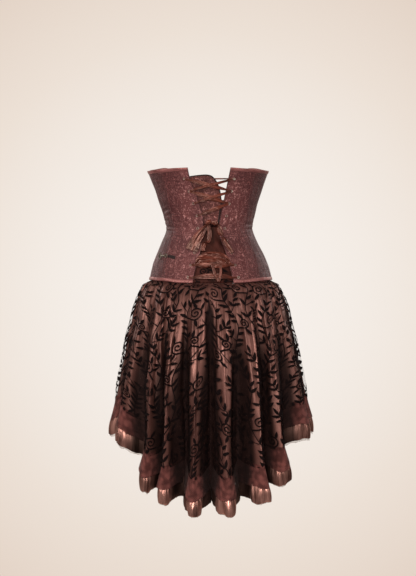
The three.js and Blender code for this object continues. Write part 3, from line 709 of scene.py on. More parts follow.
def bindings():
    """The two folded strips that cover the corset's top and bottom edges."""
    edges = np.array([0.0, 1.0])
    left, right = ([panel_angles(side, start, end, columns, edges) for _, start, end, columns, _ in PANELS]
                   for side in SIDES.values())
    whole = np.concatenate([*left, *[angles[::-1] for angles in right[::-1]]])
    for edge, index, down in (("top", 1, -1), ("bottom", 0, 1)):
        angle = dense_angles(whole[:, index])
        distance = np.cumsum(np.abs(np.gradient(angle))) * BINDING["radius"]
        pucker = 0.28 * np.sin(distance * 0.61) * np.sin(distance * 0.23 + 1) + 0.14 * np.sin(distance * 1.7)
        rows = []
        for below, out in BINDING_OUTLINE:
            height = edge_z(angle, edge) + down * (below + 0.25 * np.sin(distance * 0.11))
            relief = bodice_relief(angle, height) * BINDING["relief"]
            rows.append(bodice_point(angle, height, -(out + (pucker if out > 0 else 0) + relief)))
        outer = np.stack(rows, 1)
        inward = turned_to(outer.mean(1, keepdims=True) - outer, grid_normals(outer))
        piece = shell(f"binding_{edge}", outer, SATIN_WALL, "binding", inward=inward)
        cloth(piece, outer, "binding", f"corset_{edge}_binding")


def dense_angles(angles):
    """Twice as many angles as the given ones, with doubled ones left out."""
    angles = np.unwrap(angles)
    angles = angles[np.append(True, np.abs(np.diff(angles)) > 1e-4)]
    count = len(angles)
    return np.interp(np.linspace(0, count - 1, 2 * count - 1), np.arange(count), angles)


TONGUE = {"top": 134.6, "bottom": 4, "dip": 7, "round": 9, "inset": 3, "hidden": 12, "wall": 1.2}
PIPING = {"inset": 3.4, "radius": 1.75, "across": 60, "down": 90}
TONGUE_RIGHT = {"share": (0, 0.25, 0.43, 0.57, 0.74, 0.9, 1), "x": (19.5, 24, 28, 27, 23.6, 16.5, 8)}


def tongue_place(u, v):
    """x and z of the modesty panel: u from its hidden side to its free one, v from bottom to top."""
    z = mix(TONGUE["bottom"], TONGUE["top"], v)
    z = z - TONGUE["dip"] * v * (1 - u) ** 2 - TONGUE["round"] * v * u ** 10
    left = laced_x(-1, (z - BACK_BOTTOM) / (BACK_TOP - BACK_BOTTOM)) - TONGUE["hidden"]
    return mix(left, read(TONGUE_RIGHT, "share", v, "x"), u), z


def tongue():
    """The modesty panel behind the lacing, and the piping on its free edge."""
    x, z = tongue_place(*np.meshgrid(np.linspace(0, 1, 49), np.linspace(0, 1, 81), indexing="ij"))
    relief = 0.5 * np.sin(z * 0.19 + x * 0.09) * np.sin(x * 0.11 + 1) + 0.35 * np.sin(z * 0.47 - x * 0.05)
    outer, normal = on_back(x, z, -TONGUE["inset"] + relief * 0.6)
    # its darker brocade is painted shade
    piece = shell("tongue", outer, TONGUE["wall"], "tongue_brocade_painted_shade", inward=-normal)
    cloth(piece, outer, "brocade", "modesty_panel")
    across, down = PIPING["across"], PIPING["down"]
    edge_u = np.append(np.linspace(0, 1, across), np.ones(down))
    edge_v = np.append(np.ones(across), np.linspace(1, 0, down + 1)[1:])
    centre, _ = on_back(*tongue_place(edge_u, edge_v), -PIPING["inset"])
    tube("tongue_piping", smooth_line(centre, 6), PIPING["radius"], "dark_trim", "modesty_panel_piping")


def smooth_line(points, rounds):
    points = np.array(points, float)
    for _ in range(rounds):
        points[1:-1] = (points[:-2] + 2 * points[1:-1] + points[2:]) / 4
    return points


def tube(name, centre, radius, material, node, sides=12):
    """A covered cord sewn along an edge."""
    run = unit(np.gradient(centre, axis=0))
    out = unit(np.cross(run, [0.0, 1.0, 0.02]))
    angle = np.linspace(0, 2 * math.pi, sides, endpoint=False)[:, None, None]
    ring = centre + radius * (np.cos(angle) * out + np.sin(angle) * np.cross(out, run))
    count = len(centre)
    first = list(range(0, sides * count, count))
    last = [k + count - 1 for k in first]
    faces = [*grid_faces(sides, count, True).tolist(), first, last[::-1]]
    length = np.append(0, np.cumsum(np.linalg.norm(np.diff(centre, axis=0), axis=-1)))
    uv = np.stack(np.broadcast_arrays(angle[..., 0] * radius, length), -1).reshape(-1, 2)
    piece = mesh_object(name, ring.reshape(-1, 3), faces, uv, material)
    fix_normals(piece)
    stands_for(piece, material, node)


EYELETS = {"count": 9, "inset": 15.5, "first": 0.045, "last": 0.905, "sides": 28, "wear": 0.02}
# Section of an eyelet: distance from its middle, and height over the cloth.
EYELET_SECTION = ((1.75, -2.0), (1.8, 0.2), (2.0, 0.85), (2.5, 1.2), (3.0, 1.15), (3.5, 0.75), (3.75, 0.1),
                  (3.6, -0.35), (2.2, -0.6))
# The eyelets that keep the brighter metal, where they glint, counted from the top. The others get a darker
# copy of the metal, which is painted shade.
BRIGHT_EYELETS = (("right", 0), ("right", 1), ("right", 2), ("left", 8), ("right", 8))


def eyelet_place(side, index):
    share = mix(EYELETS["last"], EYELETS["first"], index / (EYELETS["count"] - 1))
    return float(laced_x(side, share)) + side * EYELETS["inset"], mix(BACK_BOTTOM, BACK_TOP, share)


def across_and_up(normal):
    """The directions across and up a place on the back."""
    across = unit(np.cross([0.0, 0.0, 1.0], normal))
    return across, np.cross(normal, across)


def eyelets():
    angle = np.linspace(0, 2 * math.pi, EYELETS["sides"], endpoint=False)[:, None]
    faces = grid_faces(EYELETS["sides"], len(EYELET_SECTION), True)
    for side_name, side in SIDES.items():
        for index in range(EYELETS["count"]):
            point, normal = on_back(*eyelet_place(side, index), 0)
            across, up = across_and_up(normal)
            worn = 1 + EYELETS["wear"] * np.sin(angle * 3 + index)
            spoke = (np.cos(angle) * across + np.sin(angle) * up) * worn
            grid = np.stack([point + normal * rise + radius * spoke for radius, rise in EYELET_SECTION], 1)
            points = grid.reshape(-1, 3)
            # the darker metal on the other eyelets is painted shade
            material = "antique_metal" if (side_name, index) in BRIGHT_EYELETS else "eyelet_metal_painted_shade"
            piece = mesh_object(f"ring_{side_name}_{index + 1}", points, faces, points[:, :2], material)
            stands_for(piece, "antique_metal", f"eyelet_{side_name}_{index + 1}")


# The narrowest cloth that a stretch of ribbon is cut from, and the least share of it that shows.
NARROWEST = 10.1
LEAST_SHOWN = 0.31
RIBBON_WALL = 0.3


def along(places, steps):
    """A smooth line through places given by x, z, lift and width, with the same columns."""
    places = np.array(places, float)
    t = np.linspace(0, len(places) - 1, steps)
    keys = {"t": tuple(range(len(places)))}
    keys.update({str(c): tuple(places[:, c]) for c in range(places.shape[1])})
    return np.stack([read(keys, "t", t, str(c)) for c in range(places.shape[1])], -1)


def ribbon(name, places, node, pleats, steps=64, columns=17, twist=(), thickness=RIBBON_WALL,
           material="ribbon", outside=True, drift=0.16, crumple=0.22):
    """A satin ribbon along places on the back. pleats are lengthwise folds: place across from -1 to 1,
    width, height, and how far along they fade in and out. twist is rows of place along, spread and half
    turns."""
    x, z, lift, width = along(places, steps).T
    point, normal = on_back(x, z, lift)
    across = unit(np.cross(normal, unit(np.gradient(point, axis=0))))
    t = np.linspace(0, 1, steps)
    s = np.linspace(-1, 1, columns)[:, None]
    turn = np.zeros((steps, 1))
    for middle, spread, half_turns in twist:
        turn += (half_turns * math.pi / (1 + np.exp((middle - t) / spread)))[:, None]
    height = crumple * np.sin(t * 31 + s * 2.2) * np.sin(t * 13)
    for k, (middle, wide, rise, fade_in, fade_out) in enumerate(pleats):
        wander = drift * np.sin(t * (5 + k) + k * 1.7)
        fade = bell((t - (fade_in + fade_out) / 2) / max((fade_out - fade_in) / 1.6, 0.05))
        height += rise * fade * bell((s - middle - wander) / wide)
    side = across * np.cos(turn) + normal * np.sin(turn)
    face = normal * np.cos(turn) - across * np.sin(turn)
    grid = point + side * (s * width)[..., None] / 2 + face * height[..., None]
    if outside:
        grid[..., 1] = np.minimum(grid[..., 1], on_back(grid[..., 0], grid[..., 2], 0.5)[0][..., 1])
    piece = shell(name, grid, thickness, material, inward=-np.broadcast_to(face, grid.shape))
    wide, long = (float(lines.mean()) for lines in lengths(grid))
    flat = (max(wide, NARROWEST) * MM, long * MM)
    shown = max(LEAST_SHOWN, min(1.0, wide / NARROWEST))
    cloth(piece, grid, material, node, flat=flat,
          area=shown * flat[0] * flat[1])


# The stretches of lacing: eyelet on the left, eyelet on the right, lift, width and sag.
STRANDS = (
    ("lacing_1_down", 0, 1, 2.7, 10, 0.0), ("lacing_1_up", 1, 0, 4.4, 7, 0.0),
    ("lacing_2_down", 1, 2, 1.0, 12, 0.0), ("lacing_2_up", 2, 1, 4.4, 7.5, 0.0),
    ("lacing_3_up", 3, 2, 2.7, 9, 0.0), ("lacing_hip_twisted", 7, 7, 2.9, 7, 4.0),
    ("lacing_bottom", 8, 8, 1.0, 13, -3.0),
)
STRAND_PLEATS = ((-0.35, 0.3, 1.0, 0.0, 0.8), (0.45, 0.28, 1.2, 0.2, 1.0), (0.0, 0.2, -0.6, 0.1, 0.9))
# The uppermost stretch, which comes out of the right eyelet and runs behind the modesty panel.
TOP_STRAND = ((0.06, 0, -6.5, 5), (0.3, 0, -6.5, 5), (0.55, 0, -6.3, 4.4), (0.68, 0, -4.5, 4),
              (0.82, 0, 0.6, 3.6), (0.9, 0, 1.5, 3.6), (0.98, 0, 1.3, 3.6))
# The wide crumpled stretch over the hips.
HIP_RIBBON = ((0.03, 0, 1.4, 7), (0.12, 2, 1.6, 9), (0.21, 11, 1.8, 25), (0.34, 16, 2.2, 34),
              (0.5, 17, 2.6, 36), (0.66, 16, 2.2, 34), (0.79, 11, 1.8, 25), (0.88, 2, 1.6, 9),
              (0.97, 0, 1.4, 7))
HIP_PLEATS = ((-0.75, 0.12, 2.6, 0.1, 0.6), (-0.45, 0.08, -1.6, 0.1, 0.9), (-0.2, 0.14, 2.0, 0.5, 1.0),
              (0.05, 0.08, -2.0, 0.2, 0.7), (0.25, 0.12, 2.4, 0.1, 0.5), (0.5, 0.1, -1.6, 0.4, 1.0),
              (0.7, 0.12, 2.2, 0.4, 0.9))


def between(left, right, rows):
    """Places of a ribbon between two eyelets, from rows of share of the way, rise, lift and width."""
    (ax, az), (bx, bz) = eyelet_place(-1, left), eyelet_place(1, right)
    return [(mix(ax, bx, t), mix(az, bz, t) + rise, lift, width) for t, rise, lift, width in rows]


def lacing():
    for node, left, right, lift, width, sag in STRANDS:
        rows = [(0.02, 0, 1.3, 4.5), (0.12, 0, lift, 5.5), (0.32, -sag, lift, width),
                (0.5, -sag * 1.1, lift, width * 1.08), (0.7, -sag, lift, width), (0.88, 0, lift, 5.5),
                (0.98, 0, 1.3, 4.5)]
        twist = ((0.45, 0.05, 1),) if node == "lacing_hip_twisted" else ()
        ribbon(f"ribbon_{node}", between(left, right, rows), node, STRAND_PLEATS, twist=twist)
    ribbon("ribbon_lacing_top", between(0, 0, TOP_STRAND), "lacing_top", [(0.0, 0.4, 0.6, 0.0, 1.0)],
           outside=False)
    ribbon("ribbon_lacing_hip_wide", between(7, 7, HIP_RIBBON), "lacing_hip_wide", HIP_PLEATS, steps=110,
           columns=49, drift=0.34, crumple=1.1)


# What hangs from the knot and from the lacing: node, places by x, z, lift and width, pleats and settings.
HANGING = {
    "tail_left": (
        "bow_tail_left",
        ((-10.5, 3, 1.6, 7), (-15, -5, 3.2, 13), (-24, -18, 4.2, 20), (-37, -38, 4.2, 28),
         (-45, -54, 3.8, 33), (-50, -66, 3.6, 34)),
        ((-0.8, 0.15, 1.6, 0, 1.1), (-0.2, 0.2, 2.4, 0.0, 0.9), (0.45, 0.16, -1.4, 0.1, 1.1),
         (0.8, 0.16, 1.5, 0.0, 1.0)), {"columns": 25}),
    "loop_middle": (
        "bow_loop_middle",
        ((-6.5, 1, 3, 7), (-3.5, -12, 5.2, 10.5), (-3, -26, 6.2, 11.5), (-6, -39, 6.2, 11),
         (-14, -46, 5.8, 12), (-20, -56, 5.2, 13), (-21, -67, 4.8, 13)),
        ((-0.5, 0.25, 1.8, 0, 1), (0.3, 0.2, 2.0, 0.1, 1.0)), {"twist": ((0.62, 0.04, 1),), "columns": 21}),
    "tail_right": (
        "bow_tail_right",
        ((1.5, 8, 2.4, 8), (10, 7.5, 3.6, 11), (18, 1, 4.2, 13), (22, -10, 4.0, 14), (27, -23, 4.0, 15),
         (33, -36, 4.0, 15), (43, -52, 3.8, 14), (56, -72, 3.6, 11)),
        ((-0.4, 0.3, 1.6, 0, 1), (0.5, 0.25, 1.2, 0.2, 1.0)),
        {"twist": ((0.27, 0.03, 1), (0.62, 0.05, 1)), "columns": 21, "steps": 96}),
    "hanging_loop": (
        "lacing_hanging_loop",
        ((3, -101, 3.0, 6), (6, -112, 4.2, 7), (9.5, -124, 4.4, 7), (14, -138, 4.4, 6.5),
         (18.5, -147, 4.4, 6), (22, -146, 4.4, 6), (24.5, -136, 4.4, 6.5), (26, -120, 4.4, 7),
         (25, -103, 3.4, 6)),
        ((-0.4, 0.3, 1.3, 0, 1), (0.4, 0.25, 1.0, 0, 1)), {"steps": 90}),
}
# The knot: its place, its half length, height and depth, how much it leans, and its grid.
KNOT = {"place": (-7, 8, 3.0), "size": (8.17, 7.0, 4.0), "lean": 2.0, "columns": 64, "rows": 28}


def bow():
    """The tails at the waist, the loop that hangs lower down, and the knot."""
    for name, (node, places, pleats, settings) in HANGING.items():
        ribbon(f"ribbon_{name}", places, node, pleats, **settings)
    knot()


def knot():
    """A tight wrap of ribbon, with the creases that run round it."""
    point, normal = on_back(*KNOT["place"])
    across, up = across_and_up(normal)
    a = np.linspace(0, 2 * math.pi, KNOT["columns"], endpoint=False)[:, None, None]
    t = np.linspace(-1, 1, KNOT["rows"])[:, None]
    waist = 0.72 + 0.28 * np.sqrt(np.clip(1 - (t * 0.92) ** 2, 0, 1))
    crease = 1 + 0.09 * np.sin(a * 2 + t * 7) + 0.07 * np.sin(a * 5 - t * 4 + 1)
    radius = waist * crease * np.clip(1 - np.abs(t) ** 6, 0.15, 1)
    long, high, deep = KNOT["size"]
    grid = (point + across * t * long + up * (radius * np.sin(a) * high + t * KNOT["lean"])
            + normal * radius * np.cos(a) * deep)
    piece = shell("ribbon_knot", grid, RIBBON_WALL, "ribbon", ring=True)
    around, _ = lengths(closed(grid))
    _, along_knot = lengths(grid)
    flat = (float(along_knot.mean()) * MM, float(around.mean()) * MM)
    cloth(piece, grid, "ribbon", "bow_knot", flat=flat)


def clasp():
    """The strap of the small hip clasp, and the finish of its metal."""
    places = ((-113.8, -79.6, 1.1, 7), (-108, -81, 1.2, 8), (-102, -82.6, 1.2, 8.6), (-94.5, -85, 1.0, 8.6))
    ribbon("clasp_web", places, "clasp_strap", ((-0.85, 0.12, 0.5, 0, 1.2), (0.85, 0.12, 0.5, 0, 1.2)),
           steps=40, columns=21, thickness=0.9, material="dark_trim")
    for node in ("clasp_hook", "clasp_stem", "clasp_ring"):
        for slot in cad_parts[node].material_slots:
            slot.material = MATERIALS["antique_metal"]


def all_crests():
    start = BACK_CRESTS_RIGHT[-1]
    step = (BACK_CRESTS_LEFT[0] - start) / (FRONT_CRESTS + 1)
    front = [start + step * (i + 1) for i in range(FRONT_CRESTS)]
    return np.array([*BACK_CRESTS_RIGHT, *front, *BACK_CRESTS_LEFT], float)


CRESTS = all_crests()
FOLDS = len(CRESTS)

# Creases laid into the folds: fold number, half width as a share of a fold, height of the top and the
# bottom, and how far each one stands out (below 0 for a trough).
CREASES = (
    # fold, wide, top, bottom, rise
    (0.18, 0.055, -170, -560, 5.0), (0.34, 0.05, -230, -640, -5.0), (-0.22, 0.06, -180, -600, 5.5),
    (0.78, 0.06, -165, -520, 6.0), (1.2, 0.055, -200, -640, -5.5), (1.12, 0.05, -165, -430, 4.0),
    (1.36, 0.05, -300, -690, 5.0), (1.8, 0.06, -190, -560, 5.5), (2.15, 0.05, -210, -600, -5.0),
    (2.3, 0.06, -165, -480, 4.5), (2.82, 0.06, -240, -560, 5.0), (3.14, 0.05, -180, -470, -5.0),
    (3.3, 0.06, -220, -520, 4.5), (3.75, 0.06, -170, -440, 5.0), (4.2, 0.06, -190, -500, 4.5),
    (4.7, 0.055, -170, -420, -4.5), (5.18, 0.06, -210, -470, 5.0), (5.7, 0.06, -170, -430, 4.5),
    (6.25, 0.055, -180, -440, -4.5), (6.72, 0.06, -200, -420, 4.5), (7.2, 0.06, -170, -400, 5.0),
    (7.74, 0.06, -190, -410, -4.0), (8.22, 0.055, -180, -400, 4.5), (8.7, 0.06, -200, -430, -4.5),
    (9.25, 0.06, -170, -420, 5.0), (9.72, 0.06, -190, -440, 4.5), (10.2, 0.06, -210, -470, -4.5),
    (10.75, 0.06, -180, -450, 5.0), (11.2, 0.055, -170, -480, 4.5), (11.7, 0.06, -190, -500, -4.5),
    (12.2, 0.06, -170, -470, 5.5), (12.36, 0.05, -240, -540, -4.5), (12.8, 0.06, -210, -540, 5.0),
    (13.18, 0.055, -165, -520, -5.0), (13.3, 0.05, -200, -600, 4.5), (13.74, 0.06, -180, -620, 5.5),
    (14.2, 0.05, -190, -620, -5.5), (14.38, 0.05, -230, -680, 4.5), (14.82, 0.06, -165, -560, 5.0),
    (15.14, 0.05, -200, -640, -4.5), (15.32, 0.06, -165, -480, 5.0),
)
GATHERS = {"per_fold": 5.0, "rise": 1.9, "reach": 60}
# Where the layers start under the corset's edge, how far in, and over what drop they reach the folds.
WAIST_SEAM = {"start": 1.5, "level": 8, "inset": 3.4, "blend": 13.5}
# A small share of a fold, by which the direction of a surface is measured.
NEAR_FOLD = 0.04


def fold_angle(fold):
    fold = np.asarray(fold, float)
    k = np.floor(fold).astype(int)
    crest = lambda n: CRESTS[n % FOLDS] + 360.0 * (n // FOLDS)
    return np.radians(mix(crest(k), crest(k + 1), fold - k))


def folds_from(fold, middle):
    """How many folds away a place is from another, the shorter way round."""
    return (fold - middle + FOLDS / 2) % FOLDS - FOLDS / 2


def crest_share(fold, z=-700.0):
    """1 on a crest and 0 in a valley. The crests narrow to tubes lower down."""
    way = np.clip((z - CREST_ROUNDNESS["from"]) / (CREST_ROUNDNESS["to"] - CREST_ROUNDNESS["from"]), 0, 1)
    power = mix(CREST_ROUNDNESS["top"], CREST_ROUNDNESS["low"], way)
    return np.clip(0.5 + 0.5 * np.cos(2 * math.pi * np.asarray(fold, float)), 0, 1) ** power


def hem_z(fold):
    return read(HEM, "turn", turn_of(fold_angle(fold)), "z") + HEM_LIFT * (1 - crest_share(fold))


def skirt_point(fold, z):
    angle = fold_angle(fold)
    wide, deep, lean = outline(SKIRT, angle, z)
    depth = read(SKIRT, "z", z, "valley") * (1 - crest_share(fold, z))
    wide, deep = wide - depth, deep - depth
    return np.stack([lean + wide * np.sin(angle), -deep * np.cos(angle), z + 0 * angle], -1)


def crease_rise(fold, z):
    """How far the skirt's laid creases stand out at a place."""
    rise = np.zeros(np.broadcast(fold, z).shape)
    for crease, wide, top, bottom, height in CREASES:
        drift = 0.04 * np.sin(z * 0.016 + crease * 3)
        middle, reach = (top + bottom) / 2, (top - bottom) / 2
        rise += height * bell((folds_from(fold, crease) - drift) / wide) * bell(((z - middle) / reach) ** 2)
    return rise


def gather_rise(fold, z, top):
    """Fine gathers under the waist seam, which fade out downwards."""
    fade = bell(np.clip(top - z, 0, None) / GATHERS["reach"])
    wander = 0.8 * np.sin(fold * 2.3) + 0.5 * np.sin(fold * 5.1 + 1)
    return GATHERS["rise"] * fade * np.sin(2 * math.pi * GATHERS["per_fold"] * fold + wander)


def skirt_surface(fold, z, inset, layer=1.0):
    """The skirt's surface at a fold number and height. layer scales the laid creases."""
    fold, z = np.broadcast_arrays(np.asarray(fold, float), np.asarray(z, float))
    run = skirt_point(fold + NEAR_FOLD, z) - skirt_point(fold - NEAR_FOLD, z)
    normal = unit(np.stack([run[..., 1], -run[..., 0], 0 * run[..., 0]], -1))
    top = edge_z(fold_angle(fold), "bottom")
    out = layer * crease_rise(fold, z) + gather_rise(fold, z, top) - inset
    return skirt_point(fold, z) + normal * out[..., None]


def skirt_drape(fold, share, hem_above, inset, layer=1.0):
    """A place on a skirt layer by fold number and share of the way down to its hem."""
    fold, share = np.broadcast_arrays(np.asarray(fold, float), np.asarray(share, float))
    angle = fold_angle(fold)
    edge = edge_z(angle, "bottom")
    start = edge - WAIST_SEAM["start"]
    z = mix(start, hem_z(fold) + hem_above, share)
    low = skirt_surface(fold, np.minimum(z, edge - WAIST_SEAM["level"]), inset, layer)
    low = np.concatenate([low[..., :2], z[..., None]], -1)
    high = bodice_point(angle, z, WAIST_SEAM["inset"] + inset - 0.5 * gather_rise(fold, z, edge))
    way = np.clip((start - z) / WAIST_SEAM["blend"], 0, 1)[..., None]
    return mix(high, low, way * way * (3 - 2 * way))


# The satin's least inset, and how much more there is half way down, by degrees from the centre back.
SATIN_INSET = {"least": 2.1, "turn": (0, 30, 55, 75, 100, 130, 180), "deep": (3, 4, 5, 6, 6, 5, 4)}


def satin_inset(fold, z, hem):
    """The satin hangs further in than the mesh between the hips and the hem, most at the sides."""
    deep = read(SATIN_INSET, "turn", turn_of(fold_angle(fold)), "deep")
    top = edge_z(fold_angle(fold), "bottom")
    share = np.clip((top - z) / (top - hem), 0, 1)
    return SATIN_INSET["least"] + deep * np.sin(math.pi * share) ** 0.8


def gore_folds(index, count=FOLDS_PER_GORE):
    start, end = index * count - 0.5, (index + 1) * count - 0.5
    return np.linspace(start, end, count * FOLD_STEPS + 1)


# Painted shade in the tight fold at the centre back, dark almost from the waist.
CENTRE_BACK_PAINTED_SHADE = {"fold": -0.5, "deep": 0.6, "wide": 0.17, "top": -175}


def painted_fold_shade(fold, z):
    """How far down in a fold a place lies, from 0 on a crest to 1 at the bottom of the deepest valley, with
    extra painted shade in the fold at the centre back. The materials paint shade by it.
    """
    deepest = max(SKIRT["valley"])
    depth = (1 - crest_share(fold, z)) * np.clip(1.15 * read(SKIRT, "z", z, "valley") / deepest, 0, 1)
    from_centre = folds_from(fold, CENTRE_BACK_PAINTED_SHADE["fold"])
    centre = CENTRE_BACK_PAINTED_SHADE["deep"] * bell(from_centre / CENTRE_BACK_PAINTED_SHADE["wide"])
    return np.maximum(depth, centre * np.clip((CENTRE_BACK_PAINTED_SHADE["top"] - z) / 60, 0, 1))


def overlay_and_flock():
    for index, name in enumerate(GORES):
        folds = gore_folds(index)[:, None]
        scallop = OVERLAY_SCALLOP * np.abs(np.sin(2 * math.pi * folds)) ** 0.7
        grid = skirt_drape(folds, DOWN_SKIRT, OVERLAY_HEM - OVERLAY_TUCK - scallop, 0)
        piece = open_sheet(f"mesh_{name}", grid, "skirt_net", deep=painted_fold_shade(folds, grid[..., 2]))
        pattern = flock_piece(f"vines_{name}", grid, mirrored="left" in name, seed=3 + index % 2)
        cloth(piece, grid, "skirt_mesh", f"skirt_overlay_{name}")


def satin_skirt():
    for index, name in enumerate(("right", "left")):
        folds = gore_folds(index, 2 * FOLDS_PER_GORE)[:, None]
        hem = hem_z(folds) + SATIN_HEM
        inset = satin_inset(folds, mix(edge_z(fold_angle(folds), "bottom"), hem, DOWN_SKIRT), hem)
        grid = skirt_drape(folds, DOWN_SKIRT, SATIN_HEM, inset, SATIN_CREASES)
        piece = shell(f"satin_{name}", grid, SATIN_WALL, "skirt_satin", deep=painted_fold_shade(folds, grid[..., 2]),
                      straight=True)
        cloth(piece, grid, "skirt_satin", f"skirt_satin_{name}")


def ring_folds(steps):
    return np.linspace(-0.5, FOLDS - 0.5, int(FOLDS * steps) + 1)[:-1]


def uneven(fold, rates, shift=0.0):
    """A steady wander from a few sines that close round the skirt."""
    return sum(np.sin(2 * math.pi * rate * fold / FOLDS + shift + 1.9 * k)
               for k, rate in enumerate(rates)) / len(rates)


# The lace band: heights of its edges over the hem, its scallops, and how far its lower part stands out.
LACE = {"top": OVERLAY_HEM - 0.3, "bottom": 43, "scallop": 4.5, "uneven": 2.5, "inset": 0.4, "held": 0.2,
        "push": 9.0}


def lace_band():
    folds = ring_folds(60)[:, None]
    t = np.linspace(0, 1, 15)
    scallop = LACE["scallop"] * np.abs(np.sin(math.pi * folds * 3.5)) ** 0.7
    above = mix(LACE["top"], LACE["bottom"] - scallop + LACE["uneven"] * uneven(folds, (23, 37)), t)
    loose = np.clip((t - LACE["held"]) / (1 - LACE["held"]), 0, 1)
    ripple = loose * np.sin(2 * math.pi * folds * 7 + 2 * uneven(folds, (9, 17)))
    grid = skirt_surface(folds, hem_z(folds) + above, LACE["inset"] - LACE["push"] * loose ** 1.1 - ripple)
    piece = open_sheet("lace_flounce", grid, "lace", ring=True, deep=painted_fold_shade(folds, grid[..., 2]))
    cloth(piece, closed(grid), "lace", "skirt_lace_band")


PLEATS = {"per_fold": 3.0, "rise": 7.0, "crimps": 14, "crimp": 1.7, "swell": 4.5}
RUFFLE = {"steps": 90, "seam": 54.7, "flare": 4.5, "inset": -1.1, "wave": 2.6}
EDGING = {"inset": 3.4, "top": 0.84, "scallop": 2.6}
EDGING_DROP = {"turn": (0, 35, 60, 80, 100, 180), "drop": (3.5, 3.5, 6.5, 8.5, 6.5, 4)}


def ruffle_grid(rows, inset=0.0, top=0.0, drop=0.0):
    """The gathered ruffle, from its seam at 0 to its lower edge at 1."""
    folds = ring_folds(RUFFLE["steps"])[:, None]
    t = np.linspace(top, 1, rows)
    wander = 2.4 * uneven(folds, (13, 29, 47)) + 0.35 * uneven(folds, (61,)) * t
    phase = 2 * math.pi * PLEATS["per_fold"] * folds + wander
    size = 0.62 + 0.38 * uneven(folds, (19, 31, 53), 0.7)
    fluted = np.sin(phase + 0.55 * np.sin(phase)) + 0.35 * np.sin(2 * phase + 1.3)
    crimped = PLEATS["crimp"] * bell(t / 0.3) * np.sin(2 * math.pi * PLEATS["crimps"] * folds + 3 * wander)
    swell = PLEATS["swell"] * np.sin(math.pi * t).clip(0) ** 0.8
    push = RUFFLE["flare"] * t + swell + PLEATS["rise"] * (0.1 + 0.9 * t ** 0.8) * size * fluted + crimped
    above = RUFFLE["seam"] * (1 - t) - drop * t ** 6 + RUFFLE["wave"] * t * np.cos(phase + 0.6)
    return skirt_surface(folds, hem_z(folds) + above, RUFFLE["inset"] + inset - push)


def ruffle():
    """The satin ruffle, and the pale lace edging that peeps out under it."""
    grid = ruffle_grid(20)
    folds = ring_folds(RUFFLE["steps"])
    deep = painted_fold_shade(folds[:, None], grid[..., 2])
    piece = shell("ruffle", grid, SATIN_WALL, "ruffle_satin", ring=True, deep=deep)
    cloth(piece, closed(grid), "ruffle_satin", "skirt_ruffle")
    drop = read(EDGING_DROP, "turn", turn_of(fold_angle(folds)), "drop")[:, None]
    trim = ruffle_grid(7, EDGING["inset"], EDGING["top"], drop)
    trim[:, -1, 2] += EDGING["scallop"] * np.abs(np.sin(math.pi * folds * 9)) ** 0.8
    piece = open_sheet("edging", trim, "edging_lace", ring=True)
    cloth(piece, closed(trim), "edging_lace", "skirt_lace_edging")


# The yoke: shares of the corset's height where it ends and starts, its highest place, inset and wall.
YOKE = {"low": -1 / 304, "high": 0.487, "highest": 2, "inset": 4.2, "wall": 1.2}
# The part of it that carries vines: half its angle, and its highest place.
YOKE_VINES = {"angle": 0.8, "top": -108}


def yoke():
    """The fitted top of the skirt, seen through the gap of the lacing."""
    angle = np.linspace(-math.pi, math.pi, 241)[:-1, None]
    z = np.minimum(edges_z(angle, np.linspace(YOKE["low"], YOKE["high"], 61)), YOKE["highest"])
    crumple = 0.7 * np.sin(z * 0.13 + angle * 9) * np.sin(angle * 23 + z * 0.05)
    grid = bodice_point(angle + 0 * z, z, YOKE["inset"] - crumple)
    # its very dark satin is painted shade
    piece = shell("yoke", grid, YOKE["wall"], "yoke_satin_painted_shade", ring=True)
    patch = grid[np.abs(angle[:, 0]) < YOKE_VINES["angle"]][:, z[0] < YOKE_VINES["top"]]
    pattern = flock_piece("vines_yoke", patch, mirrored=False, seed=5, lift=0.7)
    cloth(piece, closed(grid), "skirt_mesh", "skirt_yoke")


VINE = {"spacing": 49, "period": 150, "sway": 11, "stem": 2.3, "step": 14.5, "leaf": 21.5, "leaf_wide": 7.0,
        "stretch": 1.25, "margin": 20}
SPRAY = {"long": 36, "lean": 42, "start": 62, "end": 24}
SCROLL = {"large": 15.5, "small": 11.5, "turns": 1.7, "wide": 3.4, "rise": 12, "clear": 0.8}
# Leaves round a scroll: share of the way along it, and how far each one leans from the outward direction.
SCROLL_LEAVES = ((0.03, 16), (0.13, 26), (0.22, 30), (0.31, 36), (0.41, 44))
# Side of the squares by which motifs are kept apart.
CELL = 2.2


